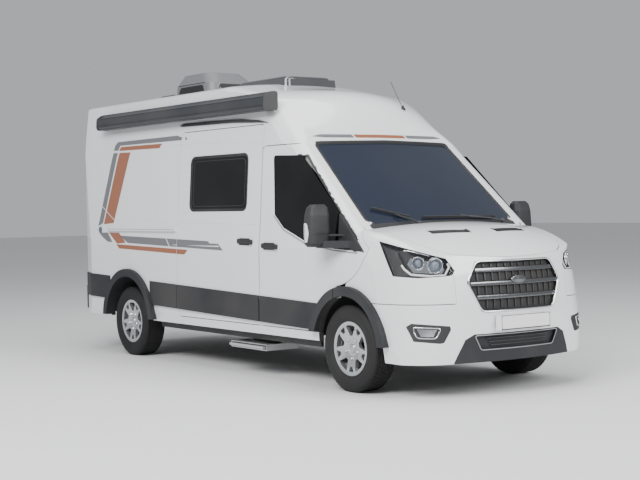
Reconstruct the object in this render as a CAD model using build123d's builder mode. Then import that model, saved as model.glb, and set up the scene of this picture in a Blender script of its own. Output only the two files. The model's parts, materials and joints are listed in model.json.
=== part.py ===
from build123d import *
import os
from math import cos, hypot, pi, radians, sin

os.makedirs("parts", exist_ok=True)

# A high-roof, long-wheelbase camper van. Millimetres: +X forward, +Y to the
# vehicle's left, +Z up, the origin on the ground at the middle of its length.

# Whole vehicle
front_x = 2990.0
rear_x = -2990.0
half_width = 990.0
wheelbase = 3750.0
front_axle_x = 1967.5
rear_axle_x = front_axle_x - wheelbase
half_track = 868.0

# Body shell
wall = 50.0
skin = 30.0
glass_thickness = 6.0
glass_depth = 5.0
shut_gap = 7.0
body_rear_x = -2935.0
trim_thickness = 12.0
arch_trim_thickness = 38.0

# Wheels and tyres
tyre_radius = 352.0
tyre_width = 235.0
rim_radius = 219.0
bore_radius = 32.5
bolt_circle = 160.0
bolt_count = 5
wheel_bolt_radius = 7.5
spoke_count = 5
arch_radius_front = 428.0
arch_radius_rear = 462.0
arch_trim_width = 78.0

# Openings in the sides
door_bottom_z = 462.0
front_door_rear_x = 693.0
front_door_top_z = 2040.0
slider_front_x = 680.0
slider_rear_x = -775.0
slider_top_z = 2236.0
side_window_front_x = 450.0
side_window_rear_x = -550.0
side_window_bottom_z = 1480.0
side_window_top_z = 1985.0
window_corner = 60.0

# Floor and chassis
floor_z = 640.0
floor_thickness = 60.0
rail_half_spacing = 430.0
rail_width = 70.0
rail_height = 110.0
rail_z = 470.0
jack_pad_x = (1200.0, -2700.0)
jack_pad_height = 14.0


# Form of the body, as a function of the depth below its outer surface

side_section = ((945, 272), (978, 480), (990, 700), (990, 1150), (978, 1260), (925, 2050), (862, 2450),
                (780, 3050))
fan_pivot = (200.0, 1550.0)
# angle, reach, crown, half width, corner radius, foot half width
fan_rows = (
    (106, 1157, 41, 848, 155, 1255),
    (90, 1086, 61, 848, 162, 1240),
    (77, 1067, 67, 848, 172, 1250),
    (64, 1119, 131, 838, 205, 1260),
    (51, 1176, 199, 845, 285, 1270),
    (38, 1144, 110, 836, 216, 1290),
    (26, 1165, 60, 900, 150, 1300),
)
screen_row = (-10, 2090, 78, 945, 88, 1335)
fan_foot = 350.0
# x, z: what lies under the windscreen's lowest section and behind the hood's first
cab_filling = ((400, 250), (1900, 250), (1900, 1200), (1780, 1262), (1690, 1285), (800, 1450), (400, 1520))
# x, height, crown, half width, corner radius, foot half width
hood_rows = (
    (1700, 1385, 45, 955, 110, 1250),
    (2000, 1362, 55, 950, 110, 1250),
    (2300, 1333, 70, 930, 120, 1200),
    (2600, 1245, 85, 900, 140, 1150),
    (2900, 1060, 90, 880, 150, 1150),
    (3200, 700, 90, 880, 150, 1150),
)
# z, x at the middle, x and y of the corner, corner radius
plan_rows = (
    (150, 2900, 2700, 925, 380),
    (500, 2925, 2745, 935, 370),
    (850, 2915, 2720, 935, 490),
    (1200, 2840, 2635, 918, 510),
    (1550, 2700, 2500, 900, 480),
)


def top_section(plane, reach, crown, half, corner, foot, low, depth):
    """One cross-section: a crowned top with rounded shoulders on a splayed foot."""
    top = reach - depth
    side = half - depth
    with BuildSketch() as flat:
        with BuildLine():
            ThreePointArc((-side, top - crown), (0, top), (side, top - crown))
            Polyline((side, top - crown), (foot - depth, low), (depth - foot, low), (-side, top - crown))
        make_face()
        fillet(flat.vertices().group_by(Axis.Y)[-1], corner - depth * 0.7)
    return plane * flat.sketch


def fan_plane(angle):
    a = radians(angle)
    return Plane(origin=(fan_pivot[0], 0, fan_pivot[1]), x_dir=(0, 1, 0), z_dir=(sin(a), 0, -cos(a)))


def body_form(depth, nose_only=False):
    """The closed body, or its nose alone, with every surface moved in by depth."""
    fan = [top_section(fan_plane(row[0]), *row[1:], fan_foot, depth) for row in fan_rows]
    foot = top_section(fan_plane(screen_row[0]), *screen_row[1:], fan_foot, depth)
    with BuildPart() as form:
        loft([fan[-1], foot], ruled=True)
        if not nose_only:
            loft(fan)
            extrude(fan[0], amount=3400, dir=(-1, 0, 0))
            with Locations((-1200, 0, 1150)):
                Box(4000, 2700, 1900)
        with BuildSketch(Plane.XZ):
            with BuildLine():
                Polyline(*cab_filling, close=True)
            make_face()
        extrude(amount=1350, both=True)
        loft([top_section(Plane.YZ.offset(row[0]), *row[1:], 200, depth) for row in hood_rows])
        with BuildSketch(Plane.YZ.offset(-3300)):
            with BuildLine():
                right = [(y - depth, z) for y, z in side_section]
                left = [(depth - y, z) for y, z in reversed(side_section)]
                Polyline(*right, *left, close=True)
            make_face()
        extrude(amount=6600, mode=Mode.INTERSECT)
    with BuildPart() as plan:
        sections = []
        for z, middle_x, corner_x, corner_y, corner in plan_rows:
            with BuildSketch(mode=Mode.PRIVATE) as outline:
                with BuildLine():
                    ThreePointArc((corner_x - depth, depth - corner_y), (middle_x - depth, 0),
                                  (corner_x - depth, corner_y - depth))
                    Polyline((corner_x - depth, corner_y - depth), (1700, 1085 - depth),
                             (-2400, 1060 - depth),
                             (body_rear_x + depth, 905 - depth), (body_rear_x + depth, depth - 905),
                             (-2400, depth - 1060), (1700, depth - 1085), (corner_x - depth,
                                                                           depth - corner_y))
                make_face()
                fillet(outline.vertices().group_by(Axis.X)[-1], corner - depth * 0.7)
                fillet(outline.vertices().group_by(Axis.X)[0], 110 - depth * 0.7)
            sections.append(Plane.XY.offset(z) * outline.sketch)
        loft(sections)
        extrude(sections[-1], amount=1600)
    return form.part & plan.part


def through_side(outline, side, start=420.0):
    """A prism out through one side of the body, from an outline in x and z."""
    with BuildPart(mode=Mode.PRIVATE) as prism:
        with BuildSketch(Plane.XZ.offset(-side * start)):
            add(outline)
        extrude(amount=-side * 900)
    return prism.part


def across(outline):
    """A prism right across the body, from an outline in x and z."""
    with BuildPart(mode=Mode.PRIVATE) as prism:
        with BuildSketch(Plane.XZ):
            add(outline)
        extrude(amount=1500, both=True)
    return prism.part


def lengthways(outline, from_x, to_x):
    """A prism along the body, from an outline in y and z."""
    with BuildPart(mode=Mode.PRIVATE) as prism:
        with BuildSketch(Plane.YZ.offset(from_x)):
            add(outline)
        extrude(amount=to_x - from_x)
    return prism.part


def upright(outline, from_z, to_z, lean=0.0):
    """A prism upwards, from an outline in x and y, leaning forward by lean per unit of height."""
    with BuildPart(mode=Mode.PRIVATE) as prism:
        with BuildSketch(Plane.XY.offset(from_z)):
            add(outline)
        extrude(amount=hypot(1, lean) * (to_z - from_z), dir=(lean, 0, 1))
    return prism.part


def polygon(*points):
    with BuildSketch(mode=Mode.PRIVATE) as outline:
        with BuildLine():
            Polyline(*points, close=True)
        make_face()
    return outline.sketch


def grown(outline, amount):
    return offset(outline, amount=amount, kind=Kind.ARC, mode=Mode.PRIVATE)


# Outlines seen from the side, in x and z


def front_door_outline():
    with BuildSketch(mode=Mode.PRIVATE) as outline:
        with BuildLine():
            Polyline((1828, 852), (1828, door_bottom_z), (front_door_rear_x, door_bottom_z),
                     (front_door_rear_x, front_door_top_z), (1238, front_door_top_z),
                     (2236, 1162), (2222, 1115))
            ThreePointArc((2222, 1115), (2085, 955), (1828, 852))
        make_face()
        fillet(outline.vertices().filter_by(lambda v: v.Y > 2000), 45)
    return outline.sketch


def front_window_outline():
    with BuildSketch(mode=Mode.PRIVATE) as outline:
        with BuildLine():
            Polyline((865, 1952), (1290, 1938), (2192, 1138), (1807, 1156), (1380, 1214), (1060, 1322),
                     (912, 1436),
                     close=True)
        make_face()
        fillet(outline.vertices().filter_by(lambda v: v.X < 1300), 28)
    return outline.sketch


def slider_outline():
    with BuildSketch(mode=Mode.PRIVATE) as outline:
        with Locations(((slider_front_x + slider_rear_x) / 2, (slider_top_z + door_bottom_z) / 2)):
            RectangleRounded(slider_front_x - slider_rear_x, slider_top_z - door_bottom_z, 45)
    return outline.sketch


def side_window_outline():
    with BuildSketch(mode=Mode.PRIVATE) as outline:
        with Locations(((side_window_front_x + side_window_rear_x) / 2,
                        (side_window_top_z + side_window_bottom_z) / 2)):
            RectangleRounded(side_window_front_x - side_window_rear_x,
                             side_window_top_z - side_window_bottom_z,
                             window_corner)
    return outline.sketch


def arch_outline(axle_x, radius):
    with BuildSketch(mode=Mode.PRIVATE) as outline:
        with Locations((axle_x, tyre_radius)):
            Circle(radius)
        with Locations((axle_x, 0)):
            Rectangle(2 * radius, 2 * tyre_radius)
    return outline.sketch


def roof_outline():
    return polygon((-3300, 2440), (100, 2525), (392, 2516), (662, 2419), (861, 2334), (1055, 2234),
                   (1290, 2078),
                   (1600, 2078), (1600, 2900), (-3300, 2900))


def windscreen_outline():
    """The windscreen seen along x, in y and z."""
    with BuildSketch(mode=Mode.PRIVATE) as outline:
        with BuildLine():
            ThreePointArc((-742, 2052), (0, 2068), (742, 2052))
            Polyline((742, 2052), (800, 1350))
            ThreePointArc((800, 1350), (0, 1372), (-800, 1350))
            Polyline((-800, 1350), (-742, 2052))
        make_face()
        fillet(outline.vertices().group_by(Axis.Y)[0], 75)
        fillet(outline.vertices().group_by(Axis.Y)[-1], 40)
    return outline.sketch


def bonnet_outline():
    """The bonnet seen from above, in x and y."""
    with BuildSketch(mode=Mode.PRIVATE) as outline:
        with BuildLine():
            Polyline((1975, -800), (1975, 800), (2300, 800), (2520, 742), (2650, 662), (2735, 560))
            ThreePointArc((2735, 560), (2836, 0), (2735, -560))
            Polyline((2735, -560), (2650, -662), (2520, -742), (2300, -800), (1975, -800))
        make_face()
    return outline.sketch


lamp_turn = radians(45)


def lamp_plane(side):
    """The plane that a headlamp is drawn on: its x runs from the outer rear to the inner front."""
    return Plane(origin=(0, 0, 0), x_dir=(sin(lamp_turn), -side * cos(lamp_turn), 0),
                 z_dir=(cos(lamp_turn), side * sin(lamp_turn), 0))


def through_corner(outline, side):
    """A prism through a front corner of the body, from an outline on the lamp plane."""
    shape = outline if side < 0 else mirror(outline, about=Plane.XZ, mode=Mode.PRIVATE)
    with BuildPart(mode=Mode.PRIVATE) as prism:
        with BuildSketch(lamp_plane(side).offset(1750)):
            add(shape)
        extrude(amount=1400)
    return prism.part


def headlamp_outline():
    return polygon((985, 1222), (1104, 952), (1300, 938), (1560, 952), (1580, 990), (1512, 1084),
                   (1250, 1156))


def grille_outline():
    with BuildSketch(mode=Mode.PRIVATE) as outline:
        with BuildLine():
            Polyline((-400, 1058), (400, 1058), (500, 893), (385, 662), (-385, 662), (-500, 893),
                     close=True)
        make_face()
        fillet(outline.vertices(), 42)
    return outline.sketch


def intake_outline():
    return polygon((-450, 494), (450, 494), (530, 455), (590, 340), (625, 260), (-625, 260), (-590, 340),
                   (-530, 455))


def fog_outline(side):
    return polygon(*[(side * y, z) for y,
                     z in ((650, 540), (657, 568), (905, 594), (929, 568), (900, 456), (735, 436),
                           (705, 442))])


def fog_lens_outline(side):
    return polygon(*[(side * y, z) for y, z in ((754, 545), (886, 554), (866, 492), (781, 488))])


def vent_outline(side):
    """A vent in the bonnet seen from above, in x and y."""
    return polygon(*[(x, side * y) for x, y in ((2362, 500), (2440, 130), (2530, 133), (2472, 505))])


def side_slab(from_depth, to_depth):
    """A skin that follows both sides of the body alone, between two depths."""
    with BuildPart(mode=Mode.PRIVATE) as slab:
        for depth, mode in ((from_depth, Mode.ADD), (to_depth, Mode.SUBTRACT)):
            with BuildSketch(Plane.YZ.offset(body_rear_x)):
                right = [(y - depth, z) for y, z in side_section]
                left = [(depth - y, z) for y, z in reversed(side_section)]
                with BuildLine():
                    Polyline(*right, *left, close=True)
                make_face()
            extrude(amount=front_x - body_rear_x, mode=mode)
    return slab.part


def screen_slab(from_depth, to_depth):
    """A skin that follows the windscreen's plane, between two depths."""
    with BuildPart(mode=Mode.PRIVATE) as slab:
        for depth, mode in ((from_depth, Mode.ADD), (to_depth, Mode.SUBTRACT)):
            head = top_section(fan_plane(fan_rows[-1][0]), *fan_rows[-1][1:], fan_foot, depth)
            foot = top_section(fan_plane(screen_row[0]), *screen_row[1:], fan_foot, depth)
            loft([head, foot], ruled=True, mode=mode)
    return slab.part


def block(low, high):
    """A box between two corners."""
    with BuildPart(mode=Mode.PRIVATE) as box:
        with Locations([tuple((a + b) / 2 for a, b in zip(low, high))]):
            Box(*(b - a for a, b in zip(low, high)))
    return box.part


def save(piece, name):
    piece.label = name
    export_step(piece, f"parts/{name}.step")


def save_pair(right_piece, name):
    """Writes a right-hand piece and its mirror image."""
    save(right_piece, f"{name}_right")
    save(mirror(right_piece, about=Plane.XZ), f"{name}_left")


# The closed body at each depth, and the shells between them
outside = body_form(0)
inside = body_form(wall)
shell = outside - inside
front_outside = outside & block((1800, -1200, 200), (3100, 1200, 1600))
front_inside = body_form(skin, nose_only=True)
front_shell = front_outside - front_inside
lamp_depth = 90.0
body_inset_behind_lamps = Location((-lamp_depth, lamp_depth * 0.6, -10)) * front_inside

sides = {"right": -1, "left": 1}
half_gap = shut_gap / 2
both_arches = [across(arch_outline(front_axle_x, arch_radius_front)),
               across(arch_outline(rear_axle_x, arch_radius_rear))]
door_inner_y = 866.0
door_holes = [through_side(grown(front_door_outline(), half_gap), side, door_inner_y)
              for side in sides.values()]
slider_hole = through_side(grown(slider_outline(), half_gap), -1)
window_holes = [through_side(side_window_outline(), side) for side in sides.values()]
roof_cut = across(roof_outline())
screen_cut = lengthways(windscreen_outline(), 1180, 2090) & across(
    polygon((1180, 2150), (1100, 1900), (1900, 1250), (2090, 1250), (2090, 1400), (1300, 2150)))
bonnet_cut = upright(bonnet_outline(), 1000, 1500, lean=0.4)
bonnet_hole = upright(grown(bonnet_outline(), shut_gap), 1000, 1500, lean=0.4)
cowl_shelf_z = 1240.0
lamp_cuts = {side: through_corner(headlamp_outline(), side) for side in (-1, 1)}
grille_cut = lengthways(grille_outline(), 2600, 3100)

# Side walls, from the B pillars back, with the strip over the cab doors
rear_door_edge = 800.0
rear_door_bottom_z = 690.0
rear_door_top_z = 2400.0
side_region = polygon((-3100, 386), (1600, 386), (1600, 800), (slider_front_x + 4, 800),
                      (slider_front_x + 4, 2030),
                      (1170, 2030), (1170, 2700), (-3100, 2700))
tail_cuts = [block((-3000, min(side * 850, side * 1100), 835),
                   (body_rear_x + wall, max(side * 850, side * 1100), 1374))
             for side in sides.values()]
for name, side in sides.items():
    with BuildPart() as wall_part:
        add(shell)
        add(through_side(side_region, side), mode=Mode.INTERSECT)
        add(roof_cut, mode=Mode.SUBTRACT)
        add([*both_arches, *door_holes], mode=Mode.SUBTRACT)
        add(window_holes, mode=Mode.SUBTRACT) if side > 0 else add(slider_hole, mode=Mode.SUBTRACT)
        add(block((-3100, -rear_door_edge, 300), (-2700, rear_door_edge, 2500)), mode=Mode.SUBTRACT)
        add(tail_cuts, mode=Mode.SUBTRACT)
        add(block((slider_front_x - 50, 850 if side > 0 else -925, floor_z),
                  (slider_front_x + 60, 925 if side > 0 else -850, 2160)) & inside, mode=Mode.ADD)
        if side < 0:
            add(block((-2235, -1004, 1283), (-805, -900, 1317)) - outside)
    save(wall_part.part, f"side_wall_{name}")

# Roof
forehead = block((1000, -420, 2040), (1170, 420, 2300))
with BuildPart() as roof:
    add(shell)
    add(roof_cut + forehead, mode=Mode.INTERSECT)
save(roof.part, "roof")

# Rear frame: the header and sill round the rear doors
with BuildPart() as rear_frame:
    add(shell & block((body_rear_x, -rear_door_edge, 600), (body_rear_x + wall, rear_door_edge, 2600)))
    add(block((-3100, -900, rear_door_bottom_z - shut_gap), (-2700, 900, rear_door_top_z + shut_gap)),
        mode=Mode.SUBTRACT)
    add(roof_cut, mode=Mode.SUBTRACT)
save(rear_frame.part, "rear_frame")

# Cab frame: windscreen surround, A pillars, cowl beam, firewall and cab floor step
pillar_region = polygon((1170, 2045), (1170, 2700), (1300, 2700), (2100, 1480), (2066, 1370), (2128, 1256),
                        (2040, 1150), (1700, 1150))
cowl_cut = block((2031, -795, 1240), (2130, 795, 1500))
with BuildPart() as cab_frame:
    add(shell)
    add(across(pillar_region), mode=Mode.INTERSECT)
    add([roof_cut, *door_holes, screen_cut, cowl_cut], mode=Mode.SUBTRACT)
    add(block((1960, -880, 1090), (2030, 880, 1360)) & inside)
    add(block((2012, -525, floor_z - floor_thickness), (2050, 525, 1100)))
    add(block((1960, -905, 840), (2000, 905, 1100)))
    add(door_holes, mode=Mode.SUBTRACT)
    add([through_side(grown(front_door_outline(), half_gap), side, 850)
         & block((2035, -1200, 1100), (2300, 1200, 1400))
         for side in sides.values()], mode=Mode.SUBTRACT)
    add(bonnet_hole & block((1900, -1000, cowl_shelf_z), (3000, 1000, 1600)), mode=Mode.SUBTRACT)
save(cab_frame.part, "cab_frame")

# Cowl between the windscreen and the bonnet
with BuildPart() as cowl:
    add(shell & cowl_cut)
    add([screen_cut, bonnet_hole], mode=Mode.SUBTRACT)
save(cowl.part, "cowl")

# Windscreen and side glass
with BuildPart() as windscreen:
    add(screen_slab(glass_depth, glass_depth + glass_thickness))
    add(screen_cut, mode=Mode.INTERSECT)
save(windscreen.part, "windscreen")

glass_slab = side_slab(glass_depth, glass_depth + glass_thickness)
with BuildPart() as side_windows:
    add(glass_slab)
    add(window_holes[0] + window_holes[1], mode=Mode.INTERSECT)
save(side_windows.part, "side_windows")

# Sliding door, on the right
with BuildPart() as sliding_door:
    add(shell)
    add(through_side(grown(slider_outline(), -half_gap), -1), mode=Mode.INTERSECT)
    add(window_holes[0], mode=Mode.SUBTRACT)
save(sliding_door.part, "sliding_door")

# Cab doors, with their windows
sail_rear_x = 1853.0
sail_thickness = 14.0
right_window_hole = through_side(front_window_outline(), -1)
with BuildPart() as front_door:
    add(shell)
    add(through_side(grown(front_door_outline(), -half_gap), -1, door_inner_y), mode=Mode.INTERSECT)
    add([right_window_hole, both_arches[0]], mode=Mode.SUBTRACT)
save_pair(front_door.part, "front_door")
with BuildPart() as door_glass:
    add(glass_slab)
    add(right_window_hole & block((800, -1200, 1100), (sail_rear_x - 6, -800, 2000)), mode=Mode.INTERSECT)
save_pair(door_glass.part, "door_glass")

# Rear doors, with their windows and hinge barrels
hinge_barrel_radius = 13.0
rear_hinge_x = body_rear_x - 16.0
rear_hinge_y = 818.0
rear_window_size = (500.0, 540.0)
rear_window_centre = (-405.0, 1700.0)
with BuildSketch(mode=Mode.PRIVATE) as leaf:
    with Locations((-(rear_door_edge + half_gap) / 2, (rear_door_bottom_z + rear_door_top_z) / 2)):
        Rectangle(rear_door_edge - half_gap, rear_door_top_z - rear_door_bottom_z)
with BuildSketch(mode=Mode.PRIVATE) as pane:
    with Locations(rear_window_centre):
        RectangleRounded(*rear_window_size, window_corner)
pane_hole = lengthways(pane.sketch, -3100, -2700)
with BuildPart() as rear_door:
    add(shell)
    add(lengthways(leaf.sketch, -3100, body_rear_x + wall), mode=Mode.INTERSECT)
    add(pane_hole, mode=Mode.SUBTRACT)
    for z in (820, 1500, 2250):
        with Locations((rear_hinge_x, -rear_hinge_y, z)):
            Cylinder(hinge_barrel_radius, 90)
        with Locations((rear_hinge_x + 2, -rear_hinge_y + 45, z)):
            Box(12, 80, 60)
        with Locations((rear_hinge_x + 9, -rear_hinge_y + 75, z)):
            Box(18, 60, 60)
save_pair(rear_door.part, "rear_door")
with BuildPart() as rear_glass:
    add(pane_hole)
    add(block((body_rear_x + glass_depth, -900, 1000),
              (body_rear_x + glass_depth + glass_thickness, 900, 2400)),
        mode=Mode.INTERSECT)
save_pair(rear_glass.part, "rear_glass")

# Wings
bumper_top_z = 735.0
nose_centre_half = 600.0
with BuildPart() as wing:
    add(front_shell)
    add(block((1832, -1200, bumper_top_z + 3), (3000, -300, 1500)), mode=Mode.INTERSECT)
    add(across(polygon((1700, 300), (2133, 1261), (2071, 1370), (2071, 1700), (3200, 1700), (3200, 300))),
        mode=Mode.INTERSECT)
    add([both_arches[0], door_holes[0], bonnet_hole, lamp_cuts[-1], cowl_cut], mode=Mode.SUBTRACT)
    add(block((2560, -nose_centre_half, 300), (3200, 0, 1500)), mode=Mode.SUBTRACT)
save_pair(wing.part, "front_wing")

# Front bumper, with the grille surround
with BuildPart() as front_bumper:
    add(front_shell)
    add(block((2300, -1200, 272), (3100, 1200, bumper_top_z - 3))
        + block((2600, -nose_centre_half + 3, 700),
                (3100, nose_centre_half - 3, 1200)), mode=Mode.INTERSECT)
    add([both_arches[0], grille_cut, lamp_cuts[1], lamp_cuts[-1], lengthways(intake_outline(), 2500, 3100)],
        mode=Mode.SUBTRACT)
    add([lengthways(fog_outline(side), 2300, 3100) for side in (-1, 1)], mode=Mode.SUBTRACT)
    add(bonnet_hole, mode=Mode.SUBTRACT)
    with Locations((2958, 0, 576)):
        Box(64, 524, 114)
save(front_bumper.part, "front_bumper")

# Bonnet, with a shallow vent on each side
vent_depth = 7.0
with BuildPart() as bonnet:
    add(front_shell)
    add(bonnet_cut, mode=Mode.INTERSECT)
    vents = upright(vent_outline(-1), 1150, 1450) + upright(vent_outline(1), 1150, 1450)
    add(vents - Location((0, 0, -vent_depth)) * front_outside, mode=Mode.SUBTRACT)
save(bonnet.part, "bonnet")

# Headlamps: a clear cover over a deep housing, and the fog lamps
lens_thickness = 6.0
bowl_wall = 6.0
behind_cover = Location((-lens_thickness, lens_thickness * 0.7, -2)) * front_outside
bowl_floor = Location((-60, 40, -6)) * front_outside
with BuildPart() as front_lamps:
    add(front_outside)
    add(lamp_cuts[-1], mode=Mode.INTERSECT)
    add(behind_cover, mode=Mode.SUBTRACT)
    add(front_shell & lengthways(fog_lens_outline(-1), 2300, 3100))
    mirror(about=Plane.XZ)
save(front_lamps.part, "front_lamps")
with BuildPart() as lamp_housings:
    add(behind_cover)
    add(lamp_cuts[-1], mode=Mode.INTERSECT)
    add(body_inset_behind_lamps, mode=Mode.SUBTRACT)
    add(through_corner(grown(headlamp_outline(), -bowl_wall), -1) - bowl_floor, mode=Mode.SUBTRACT)
    mirror(about=Plane.XZ)
save(lamp_housings.part, "lamp_housings")

# Grille: a rim, three bars and the mesh behind them
grille_rim = 13.0
mesh_depth = 26.0
nose_skin = front_shell & block((2500, -650, 250), (3100, 650, 1100))
mesh_skin = Location((-mesh_depth, 0, 0)) * nose_skin
grille_bar_z = (775.0, 880.0, 985.0)
grille_bar_height = 34.0
grille_bar_recess = 8.0
grille_mouth = lengthways(grown(grille_outline(), -grille_rim / 2), 2600, 3100)
with BuildPart() as grille:
    add(nose_skin & (grille_cut - lengthways(grown(grille_outline(), -grille_rim), 2600, 3100)))
    with BuildPart(mode=Mode.PRIVATE) as bars:
        with Locations([(2850, 0, z) for z in grille_bar_z]):
            Box(500, 1100, grille_bar_height)
    add(Location((-grille_bar_recess, 0, 0)) * nose_skin & grille_mouth & bars.part)
    add(mesh_skin & grille_mouth)
    add(bonnet_hole, mode=Mode.SUBTRACT)
save(grille.part, "grille")

# Lower intake and the bezels round the fog lamps
intake_mouth = lengthways(polygon((-440, 478), (440, 478), (380, 372), (-380, 372)), 2500, 3100)
intake_prism = lengthways(intake_outline(), 2500, 3100)
with BuildPart() as lower_grille:
    add((nose_skin & intake_prism) - intake_mouth)
    add(mesh_skin & block((2500, -452, 362), (3100, 452, 488)))
    for side in (-1, 1):
        add(front_shell & (lengthways(fog_outline(side), 2300, 3100)
                           - lengthways(fog_lens_outline(side), 2300, 3100)))
save(lower_grille.part, "lower_grille")

# Rear bumper
with BuildPart() as rear_bumper:
    with BuildSketch(Plane.XY.offset(430)):
        with BuildLine():
            Polyline((-2600, -940), (rear_x + 90, -925), (rear_x, -780), (rear_x, 780), (rear_x + 90, 925),
                     (-2600, 940))
            Line((-2600, 940), (-2600, -940))
        make_face()
    extrude(amount=250)
    add(block((-2880, -860, 400), (-2500, 860, 700)), mode=Mode.SUBTRACT)
    add(outside, mode=Mode.SUBTRACT)
save(rear_bumper.part, "rear_bumper")

# Tail lamps
with BuildPart() as tail_lamps:
    for side in (-1, 1):
        add(shell & tail_cuts[0 if side < 0 else 1])
save(tail_lamps.part, "tail_lamps")

# Floor and chassis
with BuildPart() as floor:
    add(inside & block((-2880, -1000, floor_z - floor_thickness), (1490, 1000, floor_z)))
    for side in (-1, 1):
        add(across(arch_outline(rear_axle_x, arch_radius_rear))
            & block((-3000, min(side * 690, side * 1200), 0), (0, max(side * 690, side * 1200), 900)),
            mode=Mode.SUBTRACT)
    add(block((1480, -540, floor_z - floor_thickness), (2012, 540, floor_z)))
    for side in (-1, 1):
        with Locations((-75, side * rail_half_spacing, rail_z + rail_height / 2)):
            Box(5670, rail_width, rail_height)
    for x in (-2600, -1400, -600, 300, 1100, 2724):
        with Locations((x, 0, rail_z + rail_height / 2)):
            Box(80, 2 * rail_half_spacing, 80)
    for x in jack_pad_x:
        for side in (-1, 1):
            with Locations((x, side * rail_half_spacing, rail_z - jack_pad_height / 2)):
                Box(90, 60, jack_pad_height)
save(floor.part, "chassis_floor")

# Side cladding, arch trims and sill strips

def cladding_band(from_x, to_x):
    """The dark band along the side, falling gently towards the front."""
    def top(x):
        return 760 - 0.0287 * (x + 500)

    def bottom(x):
        return 527 - 0.0246 * (x + 500)
    return polygon((from_x, bottom(from_x)), (to_x, bottom(to_x)), (to_x, top(to_x)), (from_x, top(from_x)))


def side_trim(outline, side, proud):
    """A trim that stands proud of the side."""
    low, high = sorted((side * 880, side * (half_width + proud)))
    taper = polygon((3000, 1085 + proud), (-2400, 1060 + proud), (body_rear_x, 905 + proud),
                    (body_rear_x, -905 - proud), (-2400, -1060 - proud), (3000, -1085 - proud))
    band = through_side(outline, side) & block((-3000, low, 200), (3000, high, 1200))
    return (band & upright(taper, 200, 1200)) - outside


with BuildPart() as side_cladding:
    rear_trim_circle = arch_outline(rear_axle_x, arch_radius_rear + arch_trim_width)
    for side in (-1, 1):
        rear_end = slider_rear_x - half_gap
        band = cladding_band(-1320, rear_end) - rear_trim_circle
        add(side_trim(band, side, trim_thickness))
        if side < 0:
            add(side_trim(cladding_band(slider_rear_x + half_gap, slider_front_x - half_gap), side,
                          trim_thickness))
        else:
            add(side_trim(cladding_band(rear_end + shut_gap, slider_front_x - half_gap), side,
                          trim_thickness))
        add(side_trim(cladding_band(-2860, -2200) - rear_trim_circle, side, trim_thickness))
    for side in (-1, 1):
        for axle_x, radius, cut in (
            (front_axle_x, arch_radius_front, polygon((1000, 0), (1832, 0), (1832, 1000), (1000, 1000))),
            (rear_axle_x, arch_radius_rear, None),
        ):
            ring = arch_outline(axle_x, radius + arch_trim_width) - arch_outline(axle_x, radius)
            if cut:
                ring = ring - cut
            ring = ring & polygon((-3000, 400), (3000, 400), (3000, 1000), (-3000, 1000))
            add(side_trim(ring, side, arch_trim_thickness))
    add(rear_bumper.part, mode=Mode.SUBTRACT)
save(side_cladding.part, "side_cladding")

with BuildPart() as door_cladding:
    ring = arch_outline(front_axle_x, arch_radius_front + arch_trim_width)
    arch_part = (ring - arch_outline(front_axle_x, arch_radius_front)) & polygon(
        (1000, door_bottom_z + half_gap), (1824, door_bottom_z + half_gap), (1824, 1000), (1000, 1000))
    add(side_trim(cladding_band(front_door_rear_x + half_gap, 1600) - ring, -1, trim_thickness))
    add(side_trim(arch_part, -1, arch_trim_thickness))
save_pair(door_cladding.part, "door_cladding")

sill_bracket_x = {-1: (-1060, -200, 1400), 1: (-1000, -400, 1000, 1400)}
with BuildPart() as sills:
    for side in (-1, 1):
        low, high = sorted((side * 880, side * 940))
        add(block((-1250, low, 325), (1490, high, 386)))
        for x in sill_bracket_x[side]:
            rail_low, rail_high = sorted((side * (rail_half_spacing + rail_width / 2), side * 940))
            add(block((x - 30, rail_low, 500), (x + 30, rail_high, 560)))
            add(block((x - 30, low, 386), (x + 30, high, 560)))
    add(shell, mode=Mode.SUBTRACT)
save(sills.part, "sills")

# Awning cassette on the right, over the sliding door
with BuildPart() as awning:
    with BuildSketch(Plane.YZ.offset(-2410)):
        with BuildLine():
            Polyline((-840, 2352), (-985, 2348))
            RadiusArc((-985, 2348), (-1003, 2372), -28)
            Polyline((-1003, 2372), (-998, 2470))
            RadiusArc((-998, 2470), (-930, 2512), -75)
            Polyline((-930, 2512), (-840, 2516), (-840, 2352))
        make_face()
    extrude(amount=3205)
    add(outside, mode=Mode.SUBTRACT)
save(awning.part, "awning")

# Roof air conditioner, roof lights and vent
with BuildPart() as air_conditioner:
    with BuildSketch(Plane.XY.offset(2630)):
        with Locations((-1630, 0)):
            RectangleRounded(800, 600, 130)
    with BuildSketch(Plane.XY.offset(2800)):
        with Locations((-1640, 0)):
            RectangleRounded(770, 570, 130)
    with BuildSketch(Plane.XY.offset(2912)):
        with Locations((-1690, 0)):
            RectangleRounded(560, 440, 130)
    loft(ruled=True)
    add(outside, mode=Mode.SUBTRACT)
save(air_conditioner.part, "air_conditioner")
with BuildPart() as roof_lights:
    for x, size_x, size_y, top in ((-330.0, 960.0, 620.0, 2712.0), (-2380.0, 420.0, 420.0, 2722.0)):
        with BuildSketch(Plane.XY.offset(2630)):
            with Locations((x, 0)):
                RectangleRounded(size_x, size_y, 60)
        extrude(amount=top - 2630, taper=6)
    add(outside, mode=Mode.SUBTRACT)
save(roof_lights.part, "roof_lights")

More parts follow.
